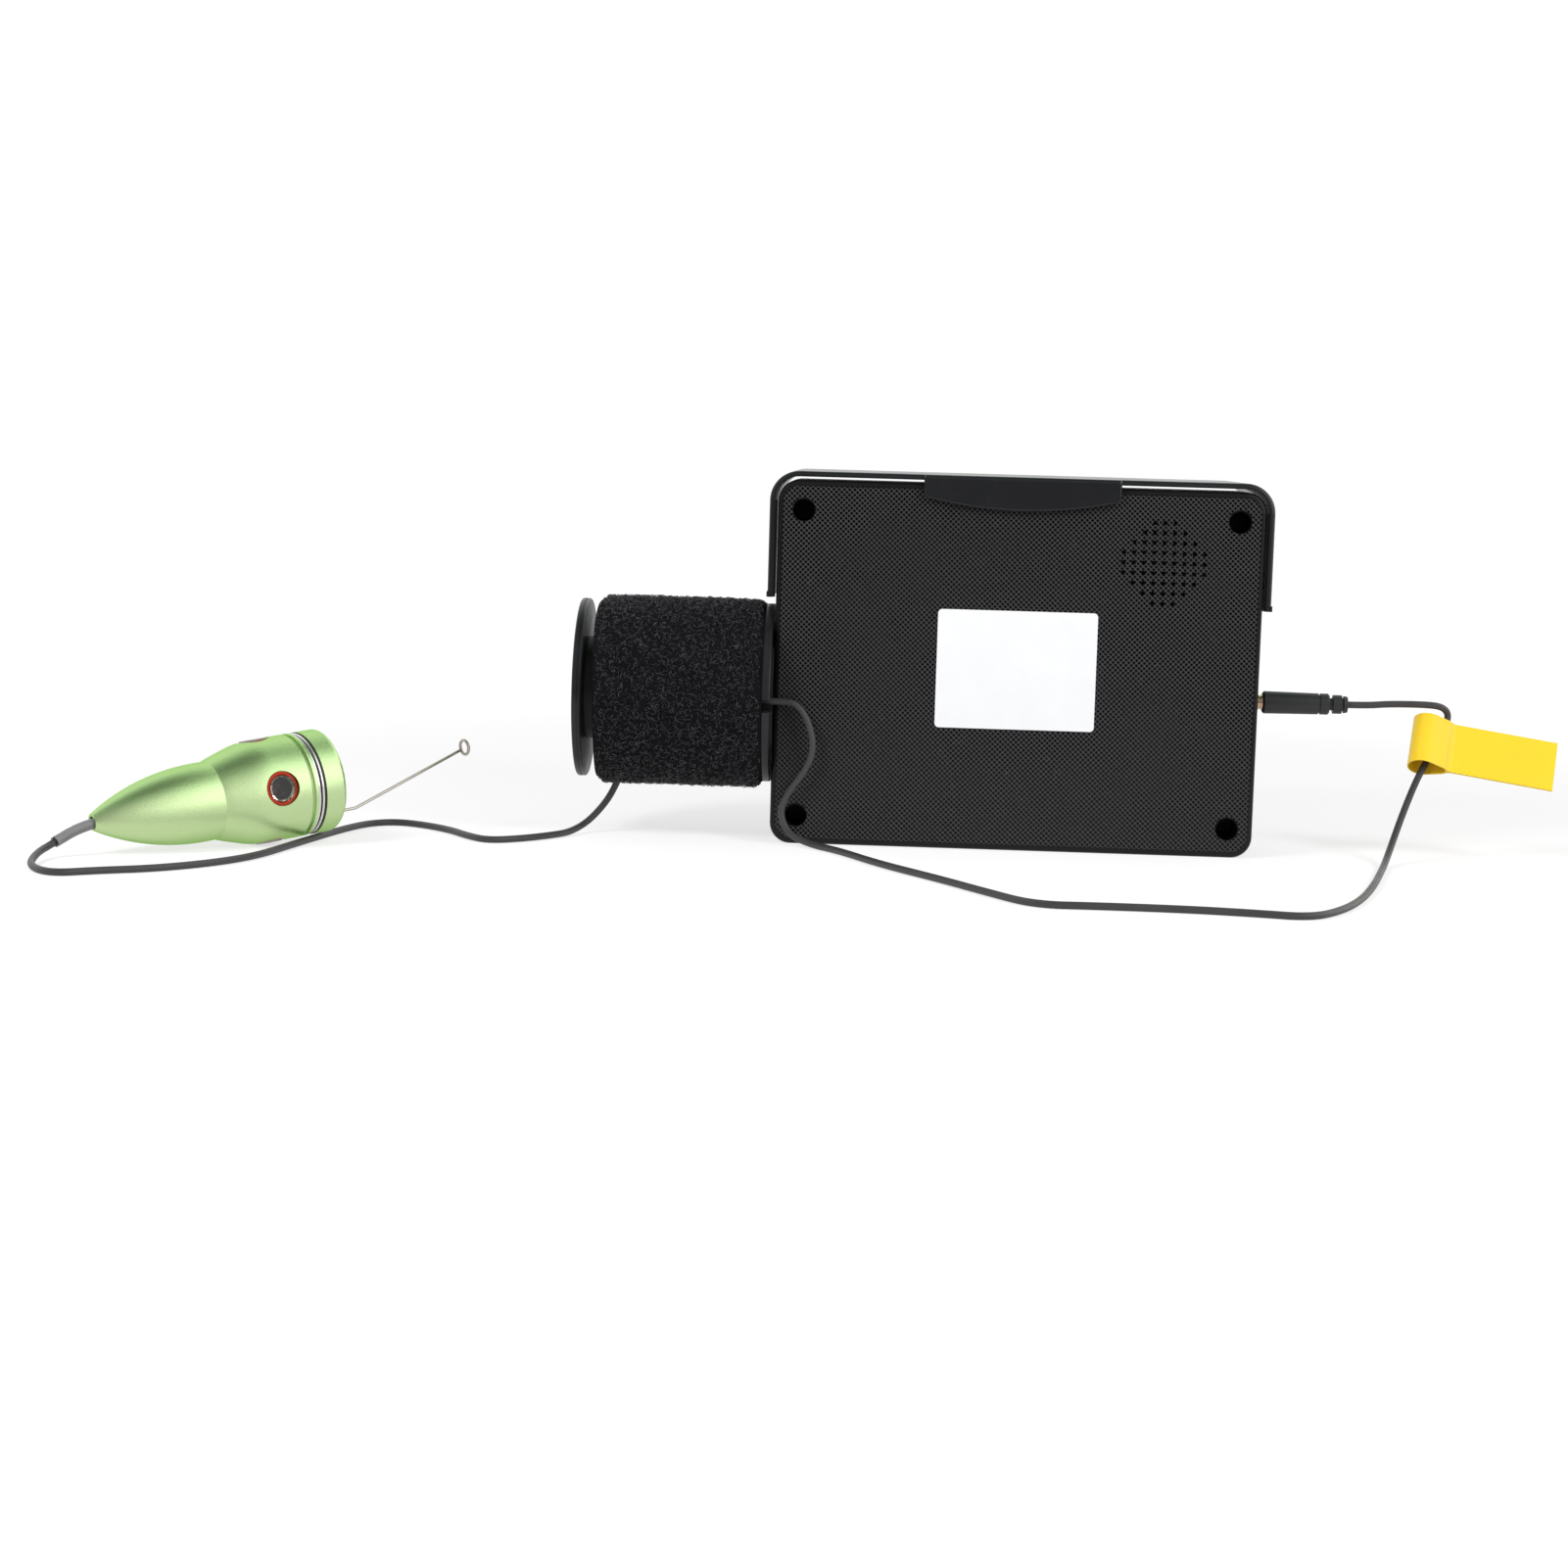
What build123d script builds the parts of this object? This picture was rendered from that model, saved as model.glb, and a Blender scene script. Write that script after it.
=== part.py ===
from build123d import *

import math
import os

# Underwater fishing camera set: a hand-held monitor with a sun hood, a cable spool on its
# left side and a torpedo-shaped camera head on the end of the cable.
# Millimetres, +Z up. The origin is the centre of the monitor's bottom face.
# The screen faces +Y, the monitor's back faces -Y, and the spool is on the -X side.

# ---------------------------------------------------------------- monitor housing
body_width = 139.7
body_height = 105.4
body_depth = 30.0
rear_depth = 23.0            # depth of the rear shell, the rest is the front shell
wall = 2.2
corner_radius = 6.0          # corners seen from the back
edge_round = 1.5             # rounding of the back and front edges
seam_bevel = 0.25            # bevel of both shells where they meet
lip_height = 1.5             # tongue of the front shell inside the rear shell
lip_wall = 1.0
fit = 0.15                   # sliding clearance between fixed pieces
side_gap = 0.3               # clearance beside a piece that moves

# ---------------------------------------------------------------- housing screws
screw_side_gap = 7.45        # from the housing's sides to the screws
screw_low = 8.3              # height of the lower pair above the base
screw_top_gap = 8.7          # from the upper pair to the top
recess_diameter = 6.2
recess_depth = 14.0
boss_diameter = 8.6
screw_head_diameter = 5.5
screw_head_height = 2.2
screw_shank = 2.9
screw_length = 13.0
pilot_clearance = 0.05

# ---------------------------------------------------------------- screen side
lcd_width = 105.5
lcd_border = 1.4             # how far the lens reaches past the display, above and below
lcd_depth = 2.9
view_width = 96.0
view_border = 7.5            # lens above and below the window
lens_width = 112.0
lens_low = 28.0              # height of the lens's lower edge
lens_top_gap = 7.4           # from the lens to the top
lens_depth = 1.2
lens_corner = 3.0

# ---------------------------------------------------------------- boards and cells
board_side_gap = 13.85       # from the housing's sides to the board
board_depth = 1.6
board_low = 7.0              # height of the board's lower edge
board_top_gap = 8.4          # from the board to the top
board_notch = 0.5            # clearance round the screw bosses
chip_depth = 1.4
chip_processor = 14.0
chip_memory = 9.0
chip_power = 7.0
chip_charger = 8.0
component_space = 3.0        # between the display and the board
post_diameter = 2.6
battery_width = 68.0
battery_height = 50.0
battery_depth = 8.0
battery_x = -14.0
battery_z = 40.0
pad_depth = 0.8

# ---------------------------------------------------------------- speaker
speaker_x = 41.1
speaker_top_gap = 20.9       # from the speaker's centre to the top
speaker_diameter = 27.0
speaker_depth = 5.2
speaker_magnet = 15.0
grille_hole = 1.3
grille_pitch = 2.9
grille_rows = [3, 5, 7, 9, 9, 9, 7, 5, 3]

# ---------------------------------------------------------------- keys
key_diameter = 9.0
key_pitch = 17.0
key_height = 14.5            # height of the row of keys
key_proud = 1.2
key_travel = 0.6
key_flange = 11.0
key_flange_depth = 1.0
switch_size = 6.0
plunger_diameter = 3.4
led_diameter = 2.4
led_x = 52.0

# ---------------------------------------------------------------- sockets on the +X side
jack_y = -1.0
jack_height = 44.4
jack_bore = 3.6
jack_nose = 6.0
jack_length = 12.0
jack_width = 7.0
charge_height = 26.0
charge_width = 9.0
charge_depth = 3.2
charge_length = 7.4

# ---------------------------------------------------------------- rating label
label_width = 45.9
label_height = 34.2
label_z = 52.5
label_depth = 0.2
label_corner = 1.2

# ---------------------------------------------------------------- sun hood
hood_wall = 1.6
hood_gap = 0.9               # between the hood and the housing
hood_rear = -14.6
hood_front = 46.0
hood_spool_gap = 2.7         # from the spool's flange up to the lower edge of the side walls
hood_front_drop = 19.4       # the same at the front
hood_taper_start = 18.0
hood_nub = 0.25              # finger lip along the lower edges
hood_nub_height = 1.6
hood_rib = 1.5
hood_rib_x = 24.0
hood_guide_start = 1.5       # how far the side guides stand in from the hood's rear edge
hood_edge = 1.1              # rounding of the rear edge
tab_edge = 0.6               # rounding of the tab's edge
tab_width = 56.4
tab_drop = 9.7               # from the hood's top to the middle of the tab's lower edge
tab_bow = 3.3                # how far that edge rises towards its ends
tab_corner = 2.0

# ---------------------------------------------------------------- cable spool
spool_height = 42.6          # height of the spool's axis
flange_radius = 26.2
flange_depth = 2.5
flange_bevel = 0.35
flange_pad = 0.5             # raised seat between the inner flange and the housing
pad_radius = 20.0
spool_width = 51.9           # between the flanges
core_radius = 15.0
core_wall = 2.0
slot_width = 3.6
slot_drop = 1.85             # the slot's middle below the spool's axis
slot_floor = 15.4            # radius at which the cable slot ends
rim_groove = 0.6
rim_groove_depth = 0.35
mount_circle = 8.0
mount_boss = 6.0
mount_boss_length = 4.0
mount_screw = 2.8
mount_head = 5.2
mount_head_height = 1.8
mount_screw_length = 9.0
cover_circle = 10.8
cover_boss = 5.4
cover_boss_length = 9.0
cover_screw = 2.2
cover_head = 4.2
cover_head_height = 1.4
cover_screw_length = 8.0
dish_radius = 21.0
dish_depth = 0.8

# ---------------------------------------------------------------- cable and its wrap
cable_diameter = 2.0
lead_drop = 1.1              # the lead leaves the winding this far below the axis
winding_radius = 24.7
winding_end_gap = 4.2        # bare core beside the outer flange
wrap_clearance = 0.3
wrap_radius = 27.9
wrap_overhang = 0.5          # the wrap reaches past the winding's outer end

# ---------------------------------------------------------------- camera head
head_x = -249.7              # tail tip
head_y = -84.1
head_z = 9.07
head_bearing = 39.9          # direction of the head's axis from +X, in degrees
head_tilt = 6.7              # nose-up tilt, in degrees
head_length = 70.4
head_radius = 14.6
tail_radius = 2.35
crease_at = 34.7             # distances from the tail tip
crease_radius = 10.92
ogive_radius = 8.85          # a point on the tail's curve
ogive_at = 15.7
shoulder_at = 49.7
window_at = 50.6
cap_length = 6.6
cap_edge = 1.5
collar_length = 0.9
groove_length = 0.7
groove_depth = 0.7
ring_length = 0.75
ring_gap = 0.45
ring_round = 0.25
seal_length = 0.55
cavity_radius = 11.6
cavity_start = 42.5
spigot_radius = 13.2
spigot_reach = 3.0           # how far the spigot enters the cap
window_diameter = 9.8
window_seat = 12.8           # distance of the window seats from the axis
window_glass = 7.2
window_roll = 170.5          # angle of the first window about the axis
seal_height = 1.5
glass_height = 1.75
port_diameter = 10.2         # radius of the front opening, see front_port
front_glass_depth = 2.0
lamp_half = 9.2
lamp_length = 11.0
lamp_board = 0.8             # thickness of a side lamp's board
lamp_board_width = 7.0
lamp_board_length = 8.0
emitter_size = 3.5
emitter_height = 0.8
camera_base = 9.0
camera_base_height = 4.0
camera_barrel = 3.6          # radius
ring_circle = 8.6            # radius of the ring of lamps
ring_lamp_radius = 1.3
ring_lamp_height = 5.0
gland_radius = 1.65
gland_depth = 8.0
sleeve_wall = 0.4
sleeve_clearance = 0.1
sleeve_length = 19.4

# ---------------------------------------------------------------- wire arm
arm_wire = 0.9
arm_circle = 11.6
arm_angle = -135.0
arm_hold = 1.4               # length held inside the cap
arm_lead = 5.2               # straight part in front of the cap
arm_length = 43.4
arm_rise = 17.3
arm_bend = 5.0
eye_radius = 2.1
eye_spin = 10.0             # turns that set the eye askew on the wire
eye_turn = 15.0
eye_phase = -81.0

# ---------------------------------------------------------------- plug and tag
collar_diameter = 4.4
pin_diameter = 3.5
pin_length = 13.0
pin_band = 0.5               # insulating rings on the pin
pin_band_pitch = 3.2
collar_out = 2.75            # bare collar between the housing and the grip
collar_band = 0.4            # grooves in the collar
grip_diameter = 6.6
grip_end_diameter = 6.2
grip_length = 19.4
grip_groove = 0.35
neck_diameter = 3.6
neck_length = 1.1
relief_diameter = 5.5
relief_length = 4.2
relief_ring = 1.1
tag_length = 41.8
tag_width = 16.0
tag_sheet = 0.35
tag_roll_radius = 4.25
tag_throat_radius = 2.1      # end of the roll where the two halves meet
tag_throat = 5.0             # distance of that end from the roll's axis
tag_blend = 3.0              # hollow where the roll runs into the flag
tag_turn = 10.0              # turn in the plane of the flag
tag_tip = 35.0               # lean of the roll's top towards the screen side
tag_x = 120.2               # middle of the roll's axis
tag_y = -2.9
tag_z = 33.9

# ---------------------------------------------------------------- derived places
screw_span_x = body_width - 2 * screw_side_gap
screw_span_z = body_height - screw_low - screw_top_gap
lens_height = body_height - lens_low - lens_top_gap
screen_height = lens_low + lens_height / 2            # height of the screen's centre
lcd_height = lens_height - 2 * lcd_border
view_height = lens_height - 2 * view_border
board_width = body_width - 2 * board_side_gap
board_height = body_height - board_low - board_top_gap
speaker_z = body_height - speaker_top_gap
hood_side_low = spool_height + flange_radius + hood_spool_gap
hood_side_front = body_height - hood_front_drop
y_back = -body_depth / 2
y_front = body_depth / 2
y_split = y_back + rear_depth
x_side = body_width / 2
face_inner = y_front - wall
lcd_back = face_inner - lcd_depth
board_front = lcd_back - component_space
board_back = board_front - board_depth
screw_xs = (-screw_span_x / 2, screw_span_x / 2)
screw_zs = (screw_low, screw_low + screw_span_z)
key_names = ["power_button", "menu_button", "up_button", "down_button", "record_button"]
key_xs = [(i - (len(key_names) - 1) / 2) * key_pitch for i in range(len(key_names))]
hood_top = body_height + hood_gap + hood_wall
hood_half = x_side + hood_gap + hood_wall
inner_face = -x_side - flange_pad - flange_depth      # spool side of the inner flange
outer_face = inner_face - spool_width                 # spool side of the outer flange
winding_start = outer_face + winding_end_gap
winding_end = inner_face - side_gap
front_port = port_diameter


def slab(shape, y_low, y_high):
    """Extrude a sketch drawn with +X right and +Z up between two depths."""
    plane = Plane(origin=(0, y_high, 0), x_dir=(1, 0, 0), z_dir=(0, -1, 0))
    return extrude(plane * shape, amount=y_high - y_low)


def rod_y(x, z, diameter, y_low, y_high):
    return slab(Pos(x, z) * Circle(diameter / 2), y_low, y_high)


def rod_x(y, z, radius, x_low, x_high):
    centre = Pos((x_low + x_high) / 2, y, z)
    return centre * Rot(0, 90, 0) * Cylinder(radius, x_high - x_low)


def block(x_low, x_high, y_low, y_high, z_low, z_high):
    centre = Pos((x_low + x_high) / 2, (y_low + y_high) / 2, (z_low + z_high) / 2)
    return centre * Box(x_high - x_low, y_high - y_low, z_high - z_low)


def outline(inset):
    """The housing's outline, drawn from the back and moved in by inset."""
    width = body_width - 2 * inset
    height = body_height - 2 * inset
    radius = max(corner_radius - inset, 0.5)
    return Pos(0, body_height / 2) * RectangleRounded(width, height, radius)


def faces_at_y(solid, y):
    return solid.faces().filter_by(Axis.Y).filter_by_position(Axis.Y, y - 0.01, y + 0.01)


def circle_angles(count, first):
    return [first + 360.0 / count * i for i in range(count)]


def on_circle(radius, angle):
    """Y and Z of a point round the spool's axis."""
    turn = math.radians(angle)
    return radius * math.cos(turn), spool_height + radius * math.sin(turn)


# ---------------------------------------------------------------- housing
def grille_points():
    middle = (len(grille_rows) - 1) / 2
    for row, count in enumerate(grille_rows):
        for place in range(count):
            across = (place - (count - 1) / 2) * grille_pitch
            yield speaker_x + across, speaker_z + (middle - row) * grille_pitch


def rear_shell():
    shell = slab(outline(0), y_back, y_split)
    shell = fillet(faces_at_y(shell, y_back).edges(), edge_round)
    shell = chamfer(faces_at_y(shell, y_split).edges(), seam_bevel)
    shell -= slab(outline(wall), y_back + wall, y_split)
    for x in screw_xs:
        for z in screw_zs:
            shell += rod_y(x, z, boss_diameter, y_back + wall / 2, y_split)
    for x in screw_xs:
        for z in screw_zs:
            shell -= rod_y(x, z, recess_diameter, y_back, y_back + recess_depth)
            shell -= rod_y(x, z, screw_shank + 2 * fit, y_back, y_split)
    ring = Pos(speaker_x, speaker_z) * Circle(speaker_diameter / 2 + fit + lip_wall)
    ring -= Pos(speaker_x, speaker_z) * Circle(speaker_diameter / 2 + fit)
    shell += slab(ring, y_back + wall / 2, y_back + wall + speaker_depth / 2)
    holes = [Pos(x, z) * Circle(grille_hole / 2) for x, z in grille_points()]
    shell -= slab(Sketch() + holes, y_back, y_back + wall)
    for angle in circle_angles(3, 180):
        y, z = on_circle(mount_circle, angle)
        start = -x_side + wall / 2
        shell += rod_x(y, z, mount_boss / 2, start, -x_side + wall + mount_boss_length)
    for angle in circle_angles(3, 180):
        y, z = on_circle(mount_circle, angle)
        reach = -x_side + wall + mount_boss_length
        shell -= rod_x(y, z, mount_screw / 2 + pilot_clearance, -x_side, reach)
    shell -= rod_x(jack_y, jack_height, jack_nose / 2 + fit, x_side - 2 * wall, x_side)
    socket = block(
        x_side - 2 * wall, x_side,
        board_back - charge_depth - fit, board_back + fit,
        charge_height - charge_width / 2 - fit, charge_height + charge_width / 2 + fit,
    )
    return shell - socket


def front_shell():
    shell = slab(outline(0), y_split, y_front)
    shell = fillet(faces_at_y(shell, y_front).edges(), edge_round)
    shell = chamfer(faces_at_y(shell, y_split).edges(), seam_bevel)
    shell -= slab(outline(wall), y_split, face_inner)
    tongue = outline(wall + fit) - outline(wall + fit + lip_wall)
    shell += slab(tongue, y_split - lip_height, y_split + lip_height)
    shell -= slab(
        Pos(0, screen_height) * RectangleRounded(lens_width + 2 * fit, lens_height + 2 * fit, lens_corner),
        y_front - lens_depth, y_front,
    )
    shell -= slab(Pos(0, screen_height) * Rectangle(view_width, view_height), face_inner, y_front)
    for x in screw_xs:
        for z in screw_zs:
            shell -= rod_y(x, z, boss_diameter + 2 * fit, y_split - lip_height, y_split)
            shell += rod_y(x, z, boss_diameter - 2 * fit, y_split, face_inner + (wall - lens_depth) / 2)
    for x in screw_xs:
        for z in screw_zs:
            shell -= rod_y(x, z, screw_shank + 2 * pilot_clearance, y_split, face_inner)
    for angle in circle_angles(3, 180):
        y, z = on_circle(mount_circle, angle)
        start = -x_side + wall
        shell -= rod_x(y, z, mount_boss / 2 + fit, start, start + mount_boss_length)
    for x in key_xs:
        shell -= rod_y(x, key_height, key_diameter + 2 * side_gap, face_inner, y_front)
    shell -= rod_y(led_x, key_height, led_diameter + 2 * fit, face_inner, y_front)
    for x in (-post_x(), post_x()):
        for z in post_zs():
            shell += rod_y(x, z, post_diameter, board_front, face_inner + (wall - lens_depth) / 2)
    return shell


def post_x():
    return (lcd_width / 2 + board_width / 2) / 2


def post_zs():
    return (board_low + board_height * 0.2, board_low + board_height * 0.85)


def shell_screws():
    seat = y_back + recess_depth
    screws = []
    for x in screw_xs:
        for z in screw_zs:
            screw = rod_y(x, z, screw_head_diameter, seat - screw_head_height, seat)
            screw += rod_y(x, z, screw_shank, seat, seat + screw_length)
            screw -= rod_y(x, z, screw_shank * 0.6, seat - screw_head_height, seat - screw_head_height / 2)
            screws.append(screw)
    return screws


def screen_lens():
    shape = Pos(0, screen_height) * RectangleRounded(lens_width, lens_height, lens_corner - fit)
    return slab(shape, y_front - lens_depth, y_front)


def lcd_panel():
    return slab(Pos(0, screen_height) * Rectangle(lcd_width, lcd_height), lcd_back, face_inner)


def rating_label():
    shape = Pos(0, label_z) * RectangleRounded(label_width, label_height, label_corner)
    return slab(shape, y_back - label_depth, y_back)


# ---------------------------------------------------------------- inside the housing
def main_board():
    shape = Pos(0, board_low + board_height / 2) * Rectangle(board_width, board_height)
    board = slab(shape, board_back, board_front)
    for x in screw_xs:
        for z in screw_zs:
            board -= rod_y(x, z, boss_diameter + 2 * board_notch, board_back, board_front)
    return board


def board_chips():
    places = [
        (0.23, 0.54, chip_processor), (0.04, 0.79, chip_memory),
        (-0.30, 0.83, chip_power), (0.27, 0.30, chip_charger),
    ]
    return [
        slab(Pos(board_width * across, board_low + board_height * up) * Rectangle(size, size),
             board_back - chip_depth, board_back)
        for across, up, size in places
    ]


def key_switches():
    rise = switch_top() - board_front
    switches = []
    for x in key_xs:
        base = slab(Pos(x, key_height) * Rectangle(switch_size, switch_size),
                    board_front, board_front + rise - 0.7)
        switches.append(base + rod_y(x, key_height, plunger_diameter, board_front, switch_top()))
    return switches


def flange_front():
    return face_inner - side_gap


def switch_top():
    return flange_front() - key_flange_depth - key_travel - side_gap


def key(x):
    cap = rod_y(x, key_height, key_diameter, flange_front() - key_flange_depth, y_front + key_proud)
    cap = fillet(faces_at_y(cap, y_front + key_proud).edges(), 0.6)
    return cap + rod_y(x, key_height, key_flange, flange_front() - key_flange_depth, flange_front())


def status_led():
    return rod_y(led_x, key_height, led_diameter, board_front, y_front + 0.2)


def battery_pack():
    back = y_back + wall + pad_depth
    shape = Pos(battery_x, battery_z) * RectangleRounded(battery_width, battery_height, 2.5)
    return slab(shape, back, back + battery_depth)


def battery_pad():
    shape = Pos(battery_x, battery_z) * Rectangle(battery_width * 0.8, battery_height * 0.8)
    return slab(shape, y_back + wall, y_back + wall + pad_depth)


def speaker():
    seat = y_back + wall
    frame = rod_y(speaker_x, speaker_z, speaker_diameter, seat, seat + speaker_depth * 0.45)
    frame -= rod_y(speaker_x, speaker_z, speaker_diameter - 3.0, seat, seat + 0.8)
    return frame + rod_y(speaker_x, speaker_z, speaker_magnet, seat + 0.8, seat + speaker_depth)


def av_jack():
    end = x_side - wall - fit
    half = jack_width / 2
    jack = block(end - jack_length, end, jack_y - half, board_back, jack_height - half, jack_height + half)
    jack += rod_x(jack_y, jack_height, jack_nose / 2, end, x_side)
    return jack - rod_x(jack_y, jack_height, jack_bore / 2, end - jack_length - 1, x_side + 1)


def charge_socket():
    low = charge_height - charge_width / 2
    outer = block(x_side - wall - charge_length + 2, x_side - fit, board_back - charge_depth,
                  board_back, low, low + charge_width)
    shell_wall = 0.4
    mouth = block(x_side - 5.0, x_side, board_back - charge_depth + shell_wall,
                  board_back - shell_wall, low + shell_wall, low + charge_width - shell_wall)
    tongue_half = 0.35
    middle = board_back - charge_depth / 2
    tongue = block(x_side - 6.0, x_side - 1.2, middle - tongue_half, middle + tongue_half,
                   low + 1.6, low + charge_width - 1.6)
    return outer - mouth + tongue


# ---------------------------------------------------------------- sun hood
def hood_outline(inset):
    half = hood_half - inset
    top = hood_top - inset
    radius = corner_radius + hood_gap + hood_wall - inset
    low = hood_side_low - hood_wall
    shape = Pos(0, (top + low) / 2) * RectangleRounded(2 * half, top - low, radius)
    return shape + Pos(0, (low + hood_side_low + radius) / 2) * Rectangle(2 * half, hood_side_low + radius - low)


def hood_tab():
    """Clip that hooks over the top of the rear shell."""
    half = tab_width / 2
    low = hood_top - tab_drop
    corner = low + tab_bow
    edge = ThreePointArc((-half, corner), (0, low), (half, corner))
    sides = Polyline((half, corner), (half, hood_top), (-half, hood_top), (-half, corner))
    shape = make_face(edge + sides)
    lower = shape.vertices().sort_by(Axis.Y)[:2]
    shape = fillet(lower, tab_corner)
    tab = slab(shape, y_back - side_gap - hood_wall, y_back - side_gap)
    tab += slab(Pos(0, hood_top - hood_wall / 2) * Rectangle(tab_width, hood_wall), y_back - side_gap, 0)
    top_back = tab.edges().filter_by(Axis.X).sort_by(lambda e: e.center().Y - e.center().Z)[0]
    tab = fillet(top_back, hood_wall * 0.7)
    outside = tab.faces().sort_by(Axis.Y)[0].edges()
    return fillet([edge for edge in outside if (edge @ 0.5).Z < hood_top - hood_wall], tab_edge)


def rear_outer_edges(hood):
    """The rear edge all round the outside of the hood, from one lower end to the other."""
    edges = []
    for edge in hood.faces().sort_by(Axis.Y)[0].edges():
        middle = edge @ 0.5
        out = abs(middle.X) > hood_half - hood_wall / 2 or middle.Z > hood_top - hood_wall / 2
        corner = edge.geom_type == GeomType.CIRCLE and edge.radius > corner_radius + hood_gap + hood_wall / 2
        if (out and middle.Z > hood_side_low + hood_nub_height) or corner:
            edges.append(edge)
    return edges


def sun_hood():
    hood = slab(hood_outline(0) - hood_outline(hood_wall), hood_rear, hood_front)
    reach = hood_half + 2 * hood_nub
    lowest = hood_side_low - hood_wall - 1
    cut = Polyline(
        (hood_rear - 1, lowest), (hood_rear - 1, hood_side_low), (hood_taper_start, hood_side_low),
        (hood_front + 1, hood_side_front), (hood_front + 1, lowest), (hood_rear - 1, lowest),
    )
    hood -= extrude(Plane.YZ.offset(-reach) * make_face(cut), amount=2 * reach)
    front = hood.faces().sort_by(Axis.Y)[-1]
    hood = chamfer(front.edges().filter_by(GeomType.CIRCLE), hood_wall * 0.2)
    hood = fillet(rear_outer_edges(hood), hood_edge)
    for side in (-1, 1):
        outer = side * (hood_half + hood_nub)
        inner = side * (hood_half - hood_wall / 2)
        nub = block(min(outer, inner), max(outer, inner), hood_rear, hood_taper_start,
                    hood_side_low, hood_side_low + hood_nub_height)
        hood += nub
        wall_in = side * (hood_half - hood_wall / 2)
        rib_in = side * (x_side + side_gap)
        guide = hood_rear + hood_guide_start
        hood += block(min(wall_in, rib_in), max(wall_in, rib_in), guide, guide + hood_rib,
                      hood_side_low, body_height - corner_radius)
        rib_x = side * hood_rib_x
        hood += block(rib_x - hood_rib / 2, rib_x + hood_rib / 2, hood_rear + 2, y_front,
                      body_height + side_gap, hood_top - hood_wall / 2)
    return hood + hood_tab()


# ---------------------------------------------------------------- spool
def flange(x_low):
    disc = rod_x(0, spool_height, flange_radius, x_low, x_low + flange_depth)
    return chamfer(disc.edges().filter_by(GeomType.CIRCLE), flange_bevel)


def inner_flange():
    disc = flange(inner_face)
    disc += rod_x(0, spool_height, pad_radius, inner_face + flange_depth / 2, -x_side)
    disc -= block(inner_face - 1, -x_side, -flange_radius - 1, -slot_floor,
                  spool_height - slot_drop - slot_width / 2, spool_height - slot_drop + slot_width / 2)
    for angle in circle_angles(3, 180):
        y, z = on_circle(mount_circle, angle)
        disc -= rod_x(y, z, mount_screw / 2 + fit, inner_face, -x_side)
    return disc


def outer_flange():
    disc = flange(outer_face - flange_depth)
    groove_at = outer_face - flange_depth * 0.35
    low, high = groove_at - rim_groove / 2, groove_at + rim_groove / 2
    disc -= rod_x(0, spool_height, flange_radius + 1, low, high) - rod_x(
        0, spool_height, flange_radius - rim_groove_depth, low, high)
    disc -= rod_x(0, spool_height, dish_radius, outer_face - flange_depth, outer_face - flange_depth + dish_depth)
    hub = rod_x(0, spool_height, core_radius, outer_face - flange_depth, outer_face)
    hub = chamfer(hub.edges().sort_by(Axis.X)[0], 0.4)
    disc += hub
    for angle in circle_angles(3, 90):
        y, z = on_circle(cover_circle, angle)
        disc -= rod_x(y, z, cover_screw / 2 + fit, outer_face - flange_depth, outer_face)
        head_floor = outer_face - flange_depth + cover_head_height
        disc -= rod_x(y, z, cover_head / 2 + fit, outer_face - flange_depth, head_floor)
    return disc


def spool_core():
    core = rod_x(0, spool_height, core_radius, outer_face, inner_face)
    core -= rod_x(0, spool_height, core_radius - core_wall, outer_face, inner_face - core_wall)
    for angle in circle_angles(3, 90):
        y, z = on_circle(cover_circle, angle)
        core += rod_x(y, z, cover_boss / 2, outer_face, outer_face + cover_boss_length)
    for angle in circle_angles(3, 90):
        y, z = on_circle(cover_circle, angle)
        core -= rod_x(y, z, cover_screw / 2 + pilot_clearance, outer_face, outer_face + cover_boss_length)
    for angle in circle_angles(3, 180):
        y, z = on_circle(mount_circle, angle)
        core -= rod_x(y, z, mount_screw / 2 + fit, inner_face - core_wall, inner_face)
    return core


def spool_mount_screws():
    seat = inner_face - core_wall
    screws = []
    for angle in circle_angles(3, 180):
        y, z = on_circle(mount_circle, angle)
        screw = rod_x(y, z, mount_head / 2, seat - mount_head_height, seat)
        screws.append(screw + rod_x(y, z, mount_screw / 2, seat, seat + mount_screw_length))
    return screws


def cover_screws():
    start = outer_face - flange_depth
    seat = start + cover_head_height
    screws = []
    for angle in circle_angles(3, 90):
        y, z = on_circle(cover_circle, angle)
        screw = rod_x(y, z, cover_head / 2, start + 0.1, seat)
        screws.append(screw + rod_x(y, z, cover_screw / 2, seat, seat + cover_screw_length))
    return screws


def cable_winding():
    turns = rod_x(0, spool_height, winding_radius, winding_start, winding_end)
    outer = turns.edges().filter_by(GeomType.CIRCLE).sort_by(Axis.X)[0]
    turns = fillet(outer, 2.5)
    return turns - rod_x(0, spool_height, core_radius + 0.05, winding_start, winding_end)


def wrap_strap():
    start = winding_start - wrap_overhang
    strap = rod_x(0, spool_height, wrap_radius, start, winding_end)
    strap = fillet(strap.edges().filter_by(GeomType.CIRCLE).sort_by(Axis.X)[0], 1.9)
    strap = fillet(strap.edges().filter_by(GeomType.CIRCLE).sort_by(Axis.X)[-1], 0.8)
    return strap - rod_x(0, spool_height, winding_radius + wrap_clearance, start, winding_end)


# ---------------------------------------------------------------- camera head
def axis_direction():
    bearing = math.radians(head_bearing)
    tilt = math.radians(head_tilt)
    return Vector(math.cos(tilt) * math.cos(bearing), math.cos(tilt) * math.sin(bearing), math.sin(tilt))


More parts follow.
